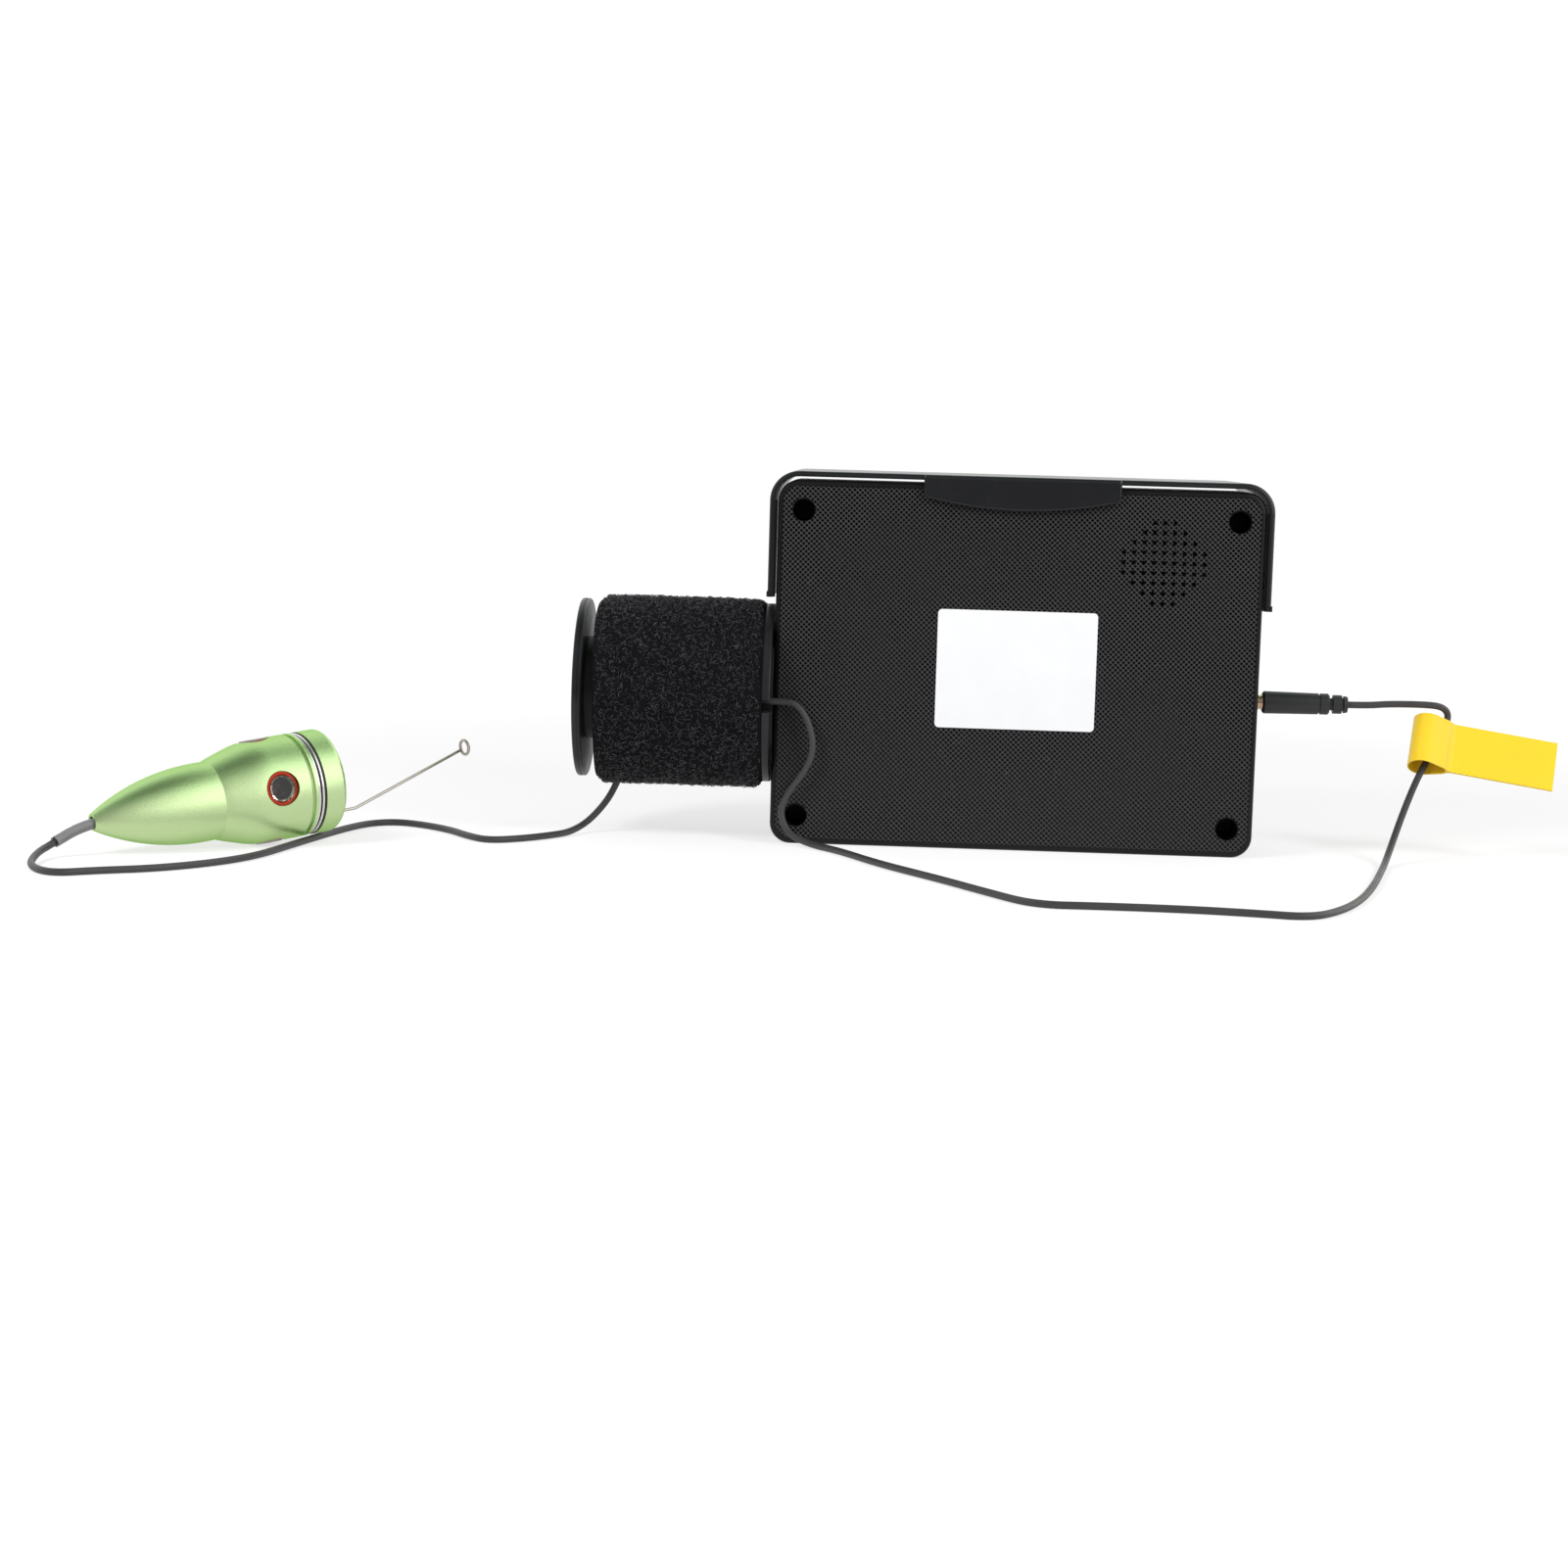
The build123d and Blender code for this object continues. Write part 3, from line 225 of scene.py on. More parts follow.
def makeGrainGroup():  # fine pebbles and broad, faint patches
    scales = {"Grain Scale": 2500.0, "Patch Scale": 60.0}
    tree, given, made = newGroup("mouldGrain", scales, ("Height", "Patch"))
    place = tree.nodes.new("ShaderNodeTexCoord").outputs["Object"]
    pebble = addNode(tree, "ShaderNodeTexVoronoi", {"feature": "SMOOTH_F1"},
                     {"Vector": place, "Scale": given["Grain Scale"], "Smoothness": 0.6})
    fine = addNode(tree, "ShaderNodeTexNoise", None,
                   {"Vector": place, "Scale": given["Grain Scale"], "Detail": 3.0, "Roughness": 0.6})
    height = calc(tree, "ADD", calc(tree, "MULTIPLY", pebble.outputs["Distance"], grainSet["pebbleShare"]),
                  fine.outputs[0])
    broad = addNode(tree, "ShaderNodeTexNoise", None,
                    {"Vector": place, "Scale": given["Patch Scale"], "Detail": 5.0, "Roughness": 0.65})
    tree.links.new(height, made["Height"])
    tree.links.new(spread(tree, broad.outputs[0], *grainSet["patchSpan"], 0.0, 1.0), made["Patch"])
    return tree


def makeWearGroup():  # hairline scuffs, and dust that settles on what faces up
    scales = {"Scuff Scale": 90.0, "Dust Scale": 1800.0}
    tree, given, made = newGroup("surfaceWear", scales, ("Scuffs", "Dust"))
    place = tree.nodes.new("ShaderNodeTexCoord").outputs["Object"]
    turned = addNode(tree, "ShaderNodeMapping", None,
                     {"Vector": place, "Rotation": wearSet["turn"], "Scale": (1.0, 1.0, wearSet["stretch"])})
    lines = addNode(tree, "ShaderNodeTexNoise", None, {
        "Vector": turned.outputs[0], "Scale": given["Scuff Scale"], "Detail": 6.0, "Distortion": 0.4})
    where = addNode(tree, "ShaderNodeTexNoise", None,
                    {"Vector": place, "Scale": wearSet["areaScale"], "Detail": 2.0})
    thin = spread(tree, lines.outputs[0], *wearSet["scuffSpan"], 0.0, 1.0)
    scuffs = calc(tree, "MULTIPLY", thin, spread(tree, where.outputs[0], *wearSet["areaSpan"], 0.0, 1.0))
    specks = addNode(tree, "ShaderNodeTexVoronoi", None, {"Vector": place, "Scale": given["Dust Scale"]})
    facing = tree.nodes.new("ShaderNodeNewGeometry").outputs["Normal"]
    up = addNode(tree, "ShaderNodeSeparateXYZ", None, {0: facing})
    lying = spread(tree, up.outputs["Z"], *wearSet["levelSpan"], wearSet["steepShare"], 1.0)
    dust = spread(tree, specks.outputs["Distance"], *wearSet["speckSpan"], 0.0, 1.0)
    tree.links.new(scuffs, made["Scuffs"])
    tree.links.new(calc(tree, "MULTIPLY", dust, lying), made["Dust"])
    return tree


backPattern = {
    # the group's inputs, in metres; Width alone is a share of the pitch
    "ports": {"Pitch": 0.00106, "Width": 0.34, "Half Width": 0.0685, "Half Height": 0.0511, "Corner": 0.0045,
              "Middle": 0.0527, "Screw X": 0.0624, "Screw Z": 0.0442, "Clear": 0.0034, "Back": -0.01497},
    "rimSoft": 0.0003, "crestHighlight": (0.55, 0.9), "depth": 0.00022,
    "plainTones": ((0.0062, 0.0060, 0.0064), (0.0085, 0.0082, 0.0088)),
    # the knurl's pits are painted near black as painted shade, its crests light as painted highlight
    "pitShadeTone": (0.0010, 0.0010, 0.0011), "ridgeHighlightTone": (0.078, 0.076, 0.080),
    # the screw recesses: painted near black as painted shade, and rougher
    "recessShadeTone": (0.0010, 0.0010, 0.0010), "recessRough": 0.55,
    "dust": 0.04, "dustTone": (0.3, 0.3, 0.3), "grain": 0.03, "roughness": (0.24, 0.30), "specular": 0.22,
}


def makeKnurlGroup():  # crossed ridges over the flat back, with a plain rim and plain screw recesses
    tree, given, made = newGroup("knurlLattice", backPattern["ports"], ("Height", "Painted Crest", "Mask", "Recess"))
    place = addNode(tree, "ShaderNodeSeparateXYZ", None,
                    {0: tree.nodes.new("ShaderNodeTexCoord").outputs["Object"]})
    x, y = place.outputs["X"], place.outputs["Y"]
    z = calc(tree, "SUBTRACT", place.outputs["Z"], given["Middle"])
    longPitch = calc(tree, "MULTIPLY", given["Pitch"], math.sqrt(2.0))
    ridges = []
    for turn in ("ADD", "SUBTRACT"):
        way = calc(tree, "DIVIDE", calc(tree, turn, x, z), longPitch)
        off = calc(tree, "MULTIPLY", calc(tree, "PINGPONG", way, 0.5), 2.0)
        off = calc(tree, "DIVIDE", off, given["Width"])
        ridges.append(calc(tree, "SUBTRACT", 1.0, calc(tree, "MULTIPLY", off, off), clamp=True))
    height = calc(tree, "MAXIMUM", ridges[0], ridges[1])

    def distance(first, second):
        squares = [calc(tree, "MULTIPLY", part, part) for part in (first, second)]
        return calc(tree, "SQRT", calc(tree, "ADD", *squares))

    def corners(halfX, halfZ, radius):  # distance inside a rounded rectangle
        sides = []
        for part, half in ((x, halfX), (z, halfZ)):
            flatHalf = calc(tree, "SUBTRACT", half, radius)
            sides.append(calc(tree, "SUBTRACT", calc(tree, "ABSOLUTE", part), flatHalf))
        over = [calc(tree, "MAXIMUM", side, 0.0) for side in sides]
        flat = calc(tree, "MINIMUM", calc(tree, "MAXIMUM", sides[0], sides[1]), 0.0)
        return calc(tree, "SUBTRACT", radius, calc(tree, "ADD", distance(*over), flat))

    inside = corners(given["Half Width"], given["Half Height"], given["Corner"])
    inside = spread(tree, inside, 0.0, backPattern["rimSoft"], 0.0, 1.0)
    offX = calc(tree, "SUBTRACT", calc(tree, "ABSOLUTE", x), given["Screw X"])
    offZ = calc(tree, "SUBTRACT", calc(tree, "ABSOLUTE", z), given["Screw Z"])
    clear = calc(tree, "GREATER_THAN", distance(offX, offZ), given["Clear"])
    onBack = calc(tree, "LESS_THAN", y, given["Back"])
    mask = calc(tree, "MULTIPLY", calc(tree, "MULTIPLY", inside, clear), onBack)
    tree.links.new(calc(tree, "MULTIPLY", height, mask), made["Height"])
    # the crests, which the housing's colour paints light as painted highlight
    crestHighlight = spread(tree, height, *backPattern["crestHighlight"], 0.0, 1.0)
    tree.links.new(calc(tree, "MULTIPLY", crestHighlight, mask), made["Painted Crest"])
    tree.links.new(mask, made["Mask"])
    within = calc(tree, "MULTIPLY", calc(tree, "SUBTRACT", 1.0, clear), calc(tree, "LESS_THAN", y, 0.0))
    tree.links.new(within, made["Recess"])
    return tree


def makeTurningGroup():  # fine rings left by a lathe, round the given axis
    tree, given, made = newGroup("turningLines", {"Axis": (1.0, 0.0, 0.0), "Rings": 3000.0}, ("Height",))
    place = tree.nodes.new("ShaderNodeTexCoord").outputs["Object"]
    along = addNode(tree, "ShaderNodeVectorMath", {"operation": "DOT_PRODUCT"}, {0: place, 1: given["Axis"]})
    steps = addNode(tree, "ShaderNodeTexNoise", {"noise_dimensions": "1D"},
                    {"W": along.outputs["Value"], "Scale": given["Rings"], "Detail": 4.0, "Roughness": 0.7})
    tree.links.new(steps.outputs[0], made["Height"])
    return tree


groups = {
    "grain": makeGrainGroup(), "wear": makeWearGroup(),
    "knurl": makeKnurlGroup(), "turning": makeTurningGroup(),
}


def useGroup(tree, name, values=None):
    made = tree.nodes.new("ShaderNodeGroup")
    made.node_tree = groups[name]
    for key, value in (values or {}).items():
        made.inputs[key].default_value = value
    return made.outputs


def newFinish(name):
    material = bpy.data.materials.new(name)
    material.use_nodes = True
    tree = material.node_tree
    tree.nodes.clear()
    output = tree.nodes.new("ShaderNodeOutputMaterial")
    shader = tree.nodes.new("ShaderNodeBsdfPrincipled")
    tree.links.new(shader.outputs["BSDF"], output.inputs["Surface"])
    return material, tree, shader


def setPlain(shader, values):
    for key, value in values.items():
        shader.inputs[key].default_value = value


def plug(tree, shader, colour, roughness, height, depth):
    bump = addNode(tree, "ShaderNodeBump", None, {"Height": height, "Strength": 1.0, "Distance": depth})
    tree.links.new(colour, shader.inputs["Base Color"])
    tree.links.new(roughness, shader.inputs["Roughness"])
    tree.links.new(bump.outputs["Normal"], shader.inputs["Normal"])


def scaled(tone, factor):
    return tuple(min(1.0, part * factor) for part in tone)


def surface(name, tone, rough, grain=2500.0, patch=60.0, depth=0.00002, swing=0.12, roughSwing=0.07,
            dust=0.0, dustTone=(0.35, 0.34, 0.33), scuffs=0.0, plain=None, extraHeight=None, paintedReflection=None):
    material, tree, shader = newFinish(name)
    grainOut = useGroup(tree, "grain", {"Grain Scale": grain, "Patch Scale": patch})
    wearOut = useGroup(tree, "wear")
    colour = blendTones(tree, grainOut["Patch"], scaled(tone, 1 - swing), scaled(tone, 1 + swing))
    if dust:
        colour = blendTones(tree, calc(tree, "MULTIPLY", wearOut["Dust"], dust), colour, dustTone)
    if paintedReflection:  # a painted tone that it shows in other pieces' reflections
        glossy = tree.nodes.new("ShaderNodeLightPath").outputs["Is Glossy Ray"]
        colour = blendTones(tree, glossy, colour, paintedReflection)
    roughness = spread(tree, grainOut["Patch"], 0.0, 1.0, rough - roughSwing, rough + roughSwing)
    if scuffs:
        rougher = calc(tree, "MULTIPLY", wearOut["Scuffs"], scuffs)
        roughness = calc(tree, "ADD", roughness, rougher, clamp=True)
    height = grainOut["Height"]
    if extraHeight:
        height = extraHeight(tree, height)
    plug(tree, shader, colour, roughness, height, depth)
    setPlain(shader, plain or {})
    return material


def housingFinish():  # the housing's plastic carries the knurl
    material, tree, shader = newFinish("housingPlastic")
    grainOut = useGroup(tree, "grain", {"Grain Scale": 4200.0, "Patch Scale": 45.0})
    wearOut = useGroup(tree, "wear")
    knurlOut = useGroup(tree, "knurl", backPattern["ports"])
    colour = blendTones(tree, grainOut["Patch"], *backPattern["plainTones"])
    # painted shade in the knurl's pits and painted highlight on its crests
    lattice = blendTones(tree, knurlOut["Painted Crest"], backPattern["pitShadeTone"], backPattern["ridgeHighlightTone"])
    colour = blendTones(tree, knurlOut["Mask"], colour, lattice)
    dust = calc(tree, "MULTIPLY", wearOut["Dust"], backPattern["dust"])
    colour = blendTones(tree, dust, colour, backPattern["dustTone"])
    # the screw recesses are painted near black as painted shade
    colour = blendTones(tree, knurlOut["Recess"], colour, backPattern["recessShadeTone"])
    roughness = spread(tree, grainOut["Patch"], 0.0, 1.0, *backPattern["roughness"])
    rougher = calc(tree, "MULTIPLY", knurlOut["Recess"], backPattern["recessRough"])
    fine = calc(tree, "MULTIPLY", grainOut["Height"], backPattern["grain"])
    plug(tree, shader, colour, calc(tree, "ADD", roughness, rougher),
         calc(tree, "ADD", knurlOut["Height"], fine), backPattern["depth"])
    setPlain(shader, {"Specular IOR Level": backPattern["specular"]})
    return material


headAxis = (0.76193, 0.63707, 0.11667)  # from the tail to the front
headTail = (-0.2497, -0.0841, 0.00907)
anodised = {
    "tones": ((0.635, 0.820, 0.420), (0.665, 0.845, 0.450)), "scuffs": 0.25, "scuffTone": (0.72, 0.87, 0.58),
    "paintedReflection": (0.66, 0.76, 0.56),  # a painted, less green tone where the metal shows in reflections, as painted reflection
    "roughness": (0.31, 0.43), "heightSpan": (0.5, 1.3), "turning": 0.35, "depth": 0.000052,
    "edgeTint": (0.50, 0.80, 0.34, 1.0),
    # painted shade on the metal between the steel rings, in metres along headAxis
    "seatStart": -0.18145, "seatEnd": -0.17920, "seatSoft": 0.00005, "ringGapShadeTone": (0.030, 0.027, 0.023),
}


def anodisedFinish():
    material, tree, shader = newFinish("anodisedGreen")
    grainOut = useGroup(tree, "grain", {"Grain Scale": 2600.0, "Patch Scale": 40.0})
    turningOut = useGroup(tree, "turning", {"Axis": headAxis, "Rings": 5200.0})
    wearOut = useGroup(tree, "wear", {"Scuff Scale": 120.0})
    colour = blendTones(tree, grainOut["Patch"], *anodised["tones"])
    scuffs = calc(tree, "MULTIPLY", wearOut["Scuffs"], anodised["scuffs"])
    colour = blendTones(tree, scuffs, colour, anodised["scuffTone"])
    # the metal is painted less green where it shows in reflections: painted reflection
    glossy = tree.nodes.new("ShaderNodeLightPath").outputs["Is Glossy Ray"]
    colour = blendTones(tree, glossy, colour, anodised["paintedReflection"])
    place = tree.nodes.new("ShaderNodeTexCoord").outputs["Object"]
    along = addNode(tree, "ShaderNodeVectorMath", {"operation": "DOT_PRODUCT"}, {0: place, 1: headAxis})
    ends = []
    for key, before, after in (("seatStart", 0.0, 1.0), ("seatEnd", 1.0, 0.0)):
        edge = anodised[key]
        ends.append(spread(tree, along.outputs["Value"], edge, edge + anodised["seatSoft"], before, after))
    # the band between the steel rings is painted near black as painted shade
    colour = blendTones(tree, calc(tree, "MULTIPLY", *ends), colour, anodised["ringGapShadeTone"])
    roughness = spread(tree, grainOut["Height"], *anodised["heightSpan"], *anodised["roughness"])
    turned = calc(tree, "MULTIPLY", turningOut["Height"], anodised["turning"])
    plug(tree, shader, colour, roughness, calc(tree, "ADD", turned, grainOut["Height"]), anodised["depth"])
    setPlain(shader, {"Metallic": 1.0, "Specular Tint": anodised["edgeTint"]})
    return material


def turnedMetal(name, tone, rough, axis, rings, depth, grainShare=0.3):
    def addRings(tree, height):
        lines = useGroup(tree, "turning", {"Axis": axis, "Rings": rings})
        return calc(tree, "ADD", calc(tree, "MULTIPLY", height, grainShare), lines["Height"])
    return surface(name, tone, rough, 3000.0, 90.0, depth, swing=0.05, roughSwing=0.05,
                   plain={"Metallic": 1.0}, extraHeight=addRings)


def clearFinish(name, tone, rough, ior, ripple, shade=0.97, roughSwing=0.03):
    material, tree, shader = newFinish(name)
    grainOut = useGroup(tree, "grain", {"Grain Scale": 900.0, "Patch Scale": 120.0})
    colour = blendTones(tree, grainOut["Patch"], scaled(tone, shade), tone)
    roughness = spread(tree, grainOut["Patch"], 0.0, 1.0, rough, rough + roughSwing)
    plug(tree, shader, colour, roughness, grainOut["Height"], ripple)
    setPlain(shader, {"Metallic": 0.0, "Transmission Weight": 1.0, "IOR": ior})
    return material


gelSet = {
    "facets": 380.0, "facetSpan": (0.35, 0.95), "leastPaleGlint": 0.6,
    "tones": ((0.020, 0.014, 0.013), (0.260, 0.240, 0.225)), "roughness": (0.22, 0.34), "depth": 0.00006,
}


def gelFinish():  # lamp chips under dark gel: uneven facets, some of them pale, partly the chips' own tone and partly painted glints
    material, tree, shader = newFinish("emitterGel")
    place = tree.nodes.new("ShaderNodeTexCoord").outputs["Object"]
    facets = addNode(tree, "ShaderNodeTexVoronoi", None,
                     {"Vector": place, "Scale": gelSet["facets"], "Randomness": 1.0})
    grey = addNode(tree, "ShaderNodeSeparateColor", None, {0: facets.outputs["Color"]}).outputs[0]
    grainOut = useGroup(tree, "grain", {"Grain Scale": 2400.0, "Patch Scale": 500.0})
    paleGlint = calc(tree, "MULTIPLY", spread(tree, grey, *gelSet["facetSpan"], 0.0, 1.0),
                spread(tree, grainOut["Patch"], 0.0, 1.0, gelSet["leastPaleGlint"], 1.0))
    # pale facets: partly the chips' own tone, partly painted glints
    colour = blendTones(tree, paleGlint, *gelSet["tones"])
    roughness = spread(tree, grainOut["Patch"], 0.0, 1.0, *gelSet["roughness"])
    plug(tree, shader, colour, roughness, grey, gelSet["depth"])
    return material


finishes = {
    # a surface's numbers: tone, roughness, grain scale, patch scale, depth of its relief in metres
    "housing": housingFinish(),
    "hood": surface("hoodPlastic", (0.0095, 0.0099, 0.0124), 0.26, 3200.0, 40.0, 0.000006,
                    swing=0.15, roughSwing=0.05, dust=0.03, scuffs=0.12, plain={"Specular IOR Level": 0.5}),
    "flange": surface("flangePlastic", (0.0112, 0.0110, 0.0134), 0.33, 2600.0, 70.0, 0.00001,
                      swing=0.18, roughSwing=0.06, dust=0.04, scuffs=0.15,
                      plain={"Specular IOR Level": 0.42}),
    "keys": surface("keyRubber", (0.045, 0.046, 0.050), 0.62, 3000.0, 80.0, 0.00001),
    "display": surface("displayPanel", (0.010, 0.012, 0.016), 0.22, 5200.0, 50.0, 0.000004),
    "board": surface("boardLacquer", (0.018, 0.105, 0.045), 0.30, 2400.0, 140.0, 0.000012, swing=0.3),
    "chip": surface("chipResin", (0.020, 0.020, 0.022), 0.55, 5200.0, 160.0, 0.000008),
    "switch": surface("switchMetal", (0.42, 0.42, 0.43), 0.32, 4200.0, 160.0, 0.000006,
                      plain={"Metallic": 1.0}),
    "indicator": surface("indicatorResin", (0.62, 0.66, 0.60), 0.18, 900.0, 200.0, 0.000004,
                         plain={"Subsurface Weight": 0.2}),
    "cell": surface("cellSleeve", (0.045, 0.165, 0.340), 0.28, 2000.0, 55.0, 0.000014, swing=0.2),
    "foam": surface("foamPad", (0.055, 0.055, 0.058), 0.92, 1500.0, 90.0, 0.00012, swing=0.25),
    "speaker": surface("speakerCone", (0.022, 0.022, 0.024), 0.60, 2600.0, 120.0, 0.00002, swing=0.25),
    "socket": surface("socketResin", (0.016, 0.016, 0.017), 0.45, 3200.0, 90.0, 0.000008),
    "socketMetal": surface("socketSteel", (0.60, 0.60, 0.61), 0.25, 2400.0, 120.0, 0.000006,
                           plain={"Metallic": 1.0}, scuffs=0.2),
    "spool": surface("spoolPlastic", (0.016, 0.016, 0.018), 0.48, 2600.0, 80.0, 0.000014,
                     swing=0.2, dust=0.10),
    # the screws are painted near black as painted shade of the recesses they sit in
    "screw": surface("shadedScrewSteel", (0.012, 0.012, 0.013), 0.45, 2200.0, 120.0, 0.00001,
                     plain={"Metallic": 1.0}, scuffs=0.25),
    # the cable is painted pale where other pieces reflect it, as painted reflection
    "cable": surface("cableSleeve", (0.048, 0.045, 0.0462), 0.46, 1500.0, 45.0, 0.000012,
                     swing=0.16, dust=0.05, scuffs=0.2, paintedReflection=(0.34, 0.36, 0.32)),
    "grip": surface("gripRubber", (0.020, 0.020, 0.021), 0.42, 2200.0, 90.0, 0.00002, swing=0.2, dust=0.12),
    "seal": surface("sealRubber", (0.012, 0.012, 0.012), 0.45, 2600.0, 120.0, 0.00001),
    "redSeal": surface("redSilicone", (0.52, 0.045, 0.018), 0.42, 2200.0, 160.0, 0.00001, swing=0.12,
                       plain={"Subsurface Weight": 0.08, "Specular IOR Level": 0.16}),
    "carrier": surface("carrierResin", (0.020, 0.020, 0.021), 0.45, 2600.0, 120.0, 0.00001),
    "emitter": gelFinish(),
    "lens": surface("lensBarrel", (0.018, 0.018, 0.020), 0.25, 3000.0, 120.0, 0.000006),
    "lamp": surface("lampResin", (0.70, 0.71, 0.68), 0.16, 900.0, 150.0, 0.000004),
    "head": anodisedFinish(),
    "rings": turnedMetal("polishedSteel", (0.84, 0.82, 0.80), 0.20, headAxis, rings=2600.0, depth=0.0000012),
    "wire": turnedMetal("springSteel", (0.56, 0.51, 0.465), 0.27, (1, 0, 0), rings=1800.0, depth=0.0000012),
    "contact": turnedMetal("goldContact", (0.60, 0.42, 0.29), 0.20, (1, 0, 0), rings=9000.0, depth=0.000004),
    "glass": clearFinish("windowGlass", (0.97, 0.98, 0.97), 0.0, ior=1.46, ripple=0.000003),
    "window": clearFinish("smokedWindow", (0.37, 0.325, 0.305), 0.02, ior=1.36, ripple=0.000004),
    "cover": clearFinish("screenGlass", (0.94, 0.96, 0.97), 0.0, ior=1.50, ripple=0.0000008),
    "sleeve": surface("shrinkFilm", (0.20, 0.20, 0.205), 0.24, 700.0, 200.0, 0.000002,
                      swing=0.05, roughSwing=0.03,
                      plain={"IOR": 1.50, "Sheen Weight": 1.0, "Sheen Roughness": 0.22}),
    "label": surface("labelPaper", (0.90, 0.905, 0.92), 0.40, 3600.0, 60.0, 0.000004, swing=0.02),
    "tag": surface("yellowVinyl", (0.95, 0.645, 0.027), 0.34, 1800.0, 50.0, 0.000006, swing=0.03),
}
print("fish finder: finishes made,", len(finishes))


# cords
cordRoutes = {
    "cameraCable": [
        (-243.604, -79.003, 10.003), (-251.071, -85.247, 8.860), (-259.3, -89.9, 3.5), (-260.6, -98.5, 2.4),
        (-258.7, -112.5, 1.1), (-249.8, -123.6, 1.1), (-239.7, -116.5, 1.1), (-226.3, -109.8, 1.1),
        (-213.6, -96.5, 1.1), (-205.5, -81.0, 1.1), (-201.1, -60.1, 1.1), (-196.9, -41.0, 1.1),
        (-193.1, -24.2, 1.1), (-188.1, -9.3, 1.1), (-180.5, -4.3, 1.1), (-171.5, -9.1, 1.1),
        (-162.4, -18.2, 1.1), (-156.2, -28.6, 1.1), (-149.1, -36.7, 1.1), (-140.0, -30.8, 1.1),
        (-131.7, -20.6, 1.1), (-128.1, -13.1, 1.1), (-124.2, -5.8, 2.9), (-120.2, -3.8, 7.1),
        (-117.0, -3.6, 11.8), (-115.3, -4.2, 15.8),
    ],
    "monitorLead": [
        (-73.15, -16.6, 41.5), (-67.2, -16.6, 41.5), (-63.2, -17.4, 41.3), (-59.3, -18.3, 36.6),
        (-57.3, -18.3, 27.9), (-60.2, -18.3, 21.1), (-64.3, -18.3, 15.9), (-67.0, -18.3, 9.7),
        (-64.5, -18.6, 3.5), (-58.1, -22.7, 1.1), (-49.2, -34.1, 1.1), (-37.3, -57.8, 1.1),
        (-21.2, -81.8, 1.1), (-8.9, -102.4, 1.1), (2.5, -120.3, 1.1), (18.7, -119.3, 1.1),
        (41.1, -119.7, 1.1), (58.2, -122.4, 1.1), (71.9, -125.9, 1.1), (81.3, -113.5, 1.1),
        (89.5, -93.8, 1.1), (96.9, -67.2, 1.1), (103.1, -40.3, 1.1), (106.5, -25.2, 1.1),
        (109.4, -17.0, 5.0), (112.0, -12.5, 10.7), (114.6, -9.6, 17.0), (117.5, -7.4, 23.8),
        (121.0, -4.5, 29.9), (124.5, -0.6, 35.5), (127.7, 1.7, 41.6), (125.3, -0.6, 44.7),
        (119.6, -1.1, 45.2), (109.2, -0.8, 45.0), (103.5, -1.0, 44.4), (97.30, -1.0, 44.4),
    ],
}
cordSizes = {"diameter": 0.002, "cameraCable": 0.2999, "monitorLead": 0.4349}
cordForm = {"order": 3, "steps": 10, "sides": 5}


def layCord(name, bevel):
    data = bpy.data.curves.new(name, "CURVE")
    data.dimensions = "3D"
    data.bevel_depth = bevel
    data.bevel_resolution = cordForm["sides"]
    data.use_fill_caps = bevel > 0
    spline = data.splines.new("NURBS")
    spline.points.add(len(cordRoutes[name]) - 1)
    for point, place in zip(spline.points, cordRoutes[name]):
        point.co = (*(part / 1000 for part in place), 1.0)
    spline.order_u = cordForm["order"]
    spline.use_endpoint_u = True
    spline.resolution_u = cordForm["steps"]
    cord = bpy.data.objects.new(name, data)
    bpy.context.scene.collection.objects.link(cord)
    return cord


def cordLine(name):  # the points that a cord's spline runs through
    line = layCord(name, 0.0)
    bpy.context.view_layer.update()
    mesh = bpy.data.meshes.new_from_object(line.evaluated_get(bpy.context.evaluated_depsgraph_get()))
    points = [vertex.co.copy() for vertex in mesh.vertices]
    bpy.data.objects.remove(line)
    return points


cords = {}
for name, node in (("cameraCable", "camera_cable"), ("monitorLead", "monitor_lead")):
    cords[name] = layCord(name, cordSizes["diameter"] / 2)
    cords[name].data.materials.append(finishes["cable"])
    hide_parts(node)
    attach(cords[name], "set")
print("fish finder: cords laid")


# modelling helpers
def pickOnly(piece):
    bpy.ops.object.select_all(action="DESELECT")
    piece.select_set(True)
    bpy.context.view_layer.objects.active = piece


def editOf(piece):
    pickOnly(piece)
    bpy.ops.object.mode_set(mode="EDIT")


def leaveEdit():
    bpy.ops.object.mode_set(mode="OBJECT")


def pickFaces(piece, test):  # ends in edit mode with those faces selected
    editOf(piece)
    bpy.ops.mesh.select_mode(type="FACE")
    bpy.ops.mesh.select_all(action="DESELECT")
    leaveEdit()
    for face in piece.data.polygons:
        face.select = test(face)
    bpy.ops.object.mode_set(mode="EDIT")


def settle(piece):  # place goes into the mesh
    pickOnly(piece)
    bpy.ops.object.transform_apply(location=True, rotation=True, scale=True)


def applyAll(piece):
    bpy.context.view_layer.objects.active = piece
    for modifier in list(piece.modifiers):
        bpy.ops.object.modifier_apply(modifier=modifier.name)


def joinAll(pieces, name):
    bpy.ops.object.select_all(action="DESELECT")
    for piece in pieces:
        piece.select_set(True)
    bpy.context.view_layer.objects.active = pieces[0]
    if len(pieces) > 1:
        bpy.ops.object.join()
    pieces[0].name = name
    return pieces[0]


def smooth(piece, angle=35.0):
    pickOnly(piece)
    bpy.ops.object.shade_smooth_by_angle(angle=math.radians(angle))


def dress(piece, finish, body="set", stands=()):
    piece.data.materials.clear()
    piece.data.materials.append(finish)
    if stands:
        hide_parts(*stands)
    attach(piece, body)


# clear sleeve over the cable at the tail
sleeveSet = {"length": 0.0194, "bore": 0.0011, "wall": 0.0004, "sides": 6, "merge": 0.00001}


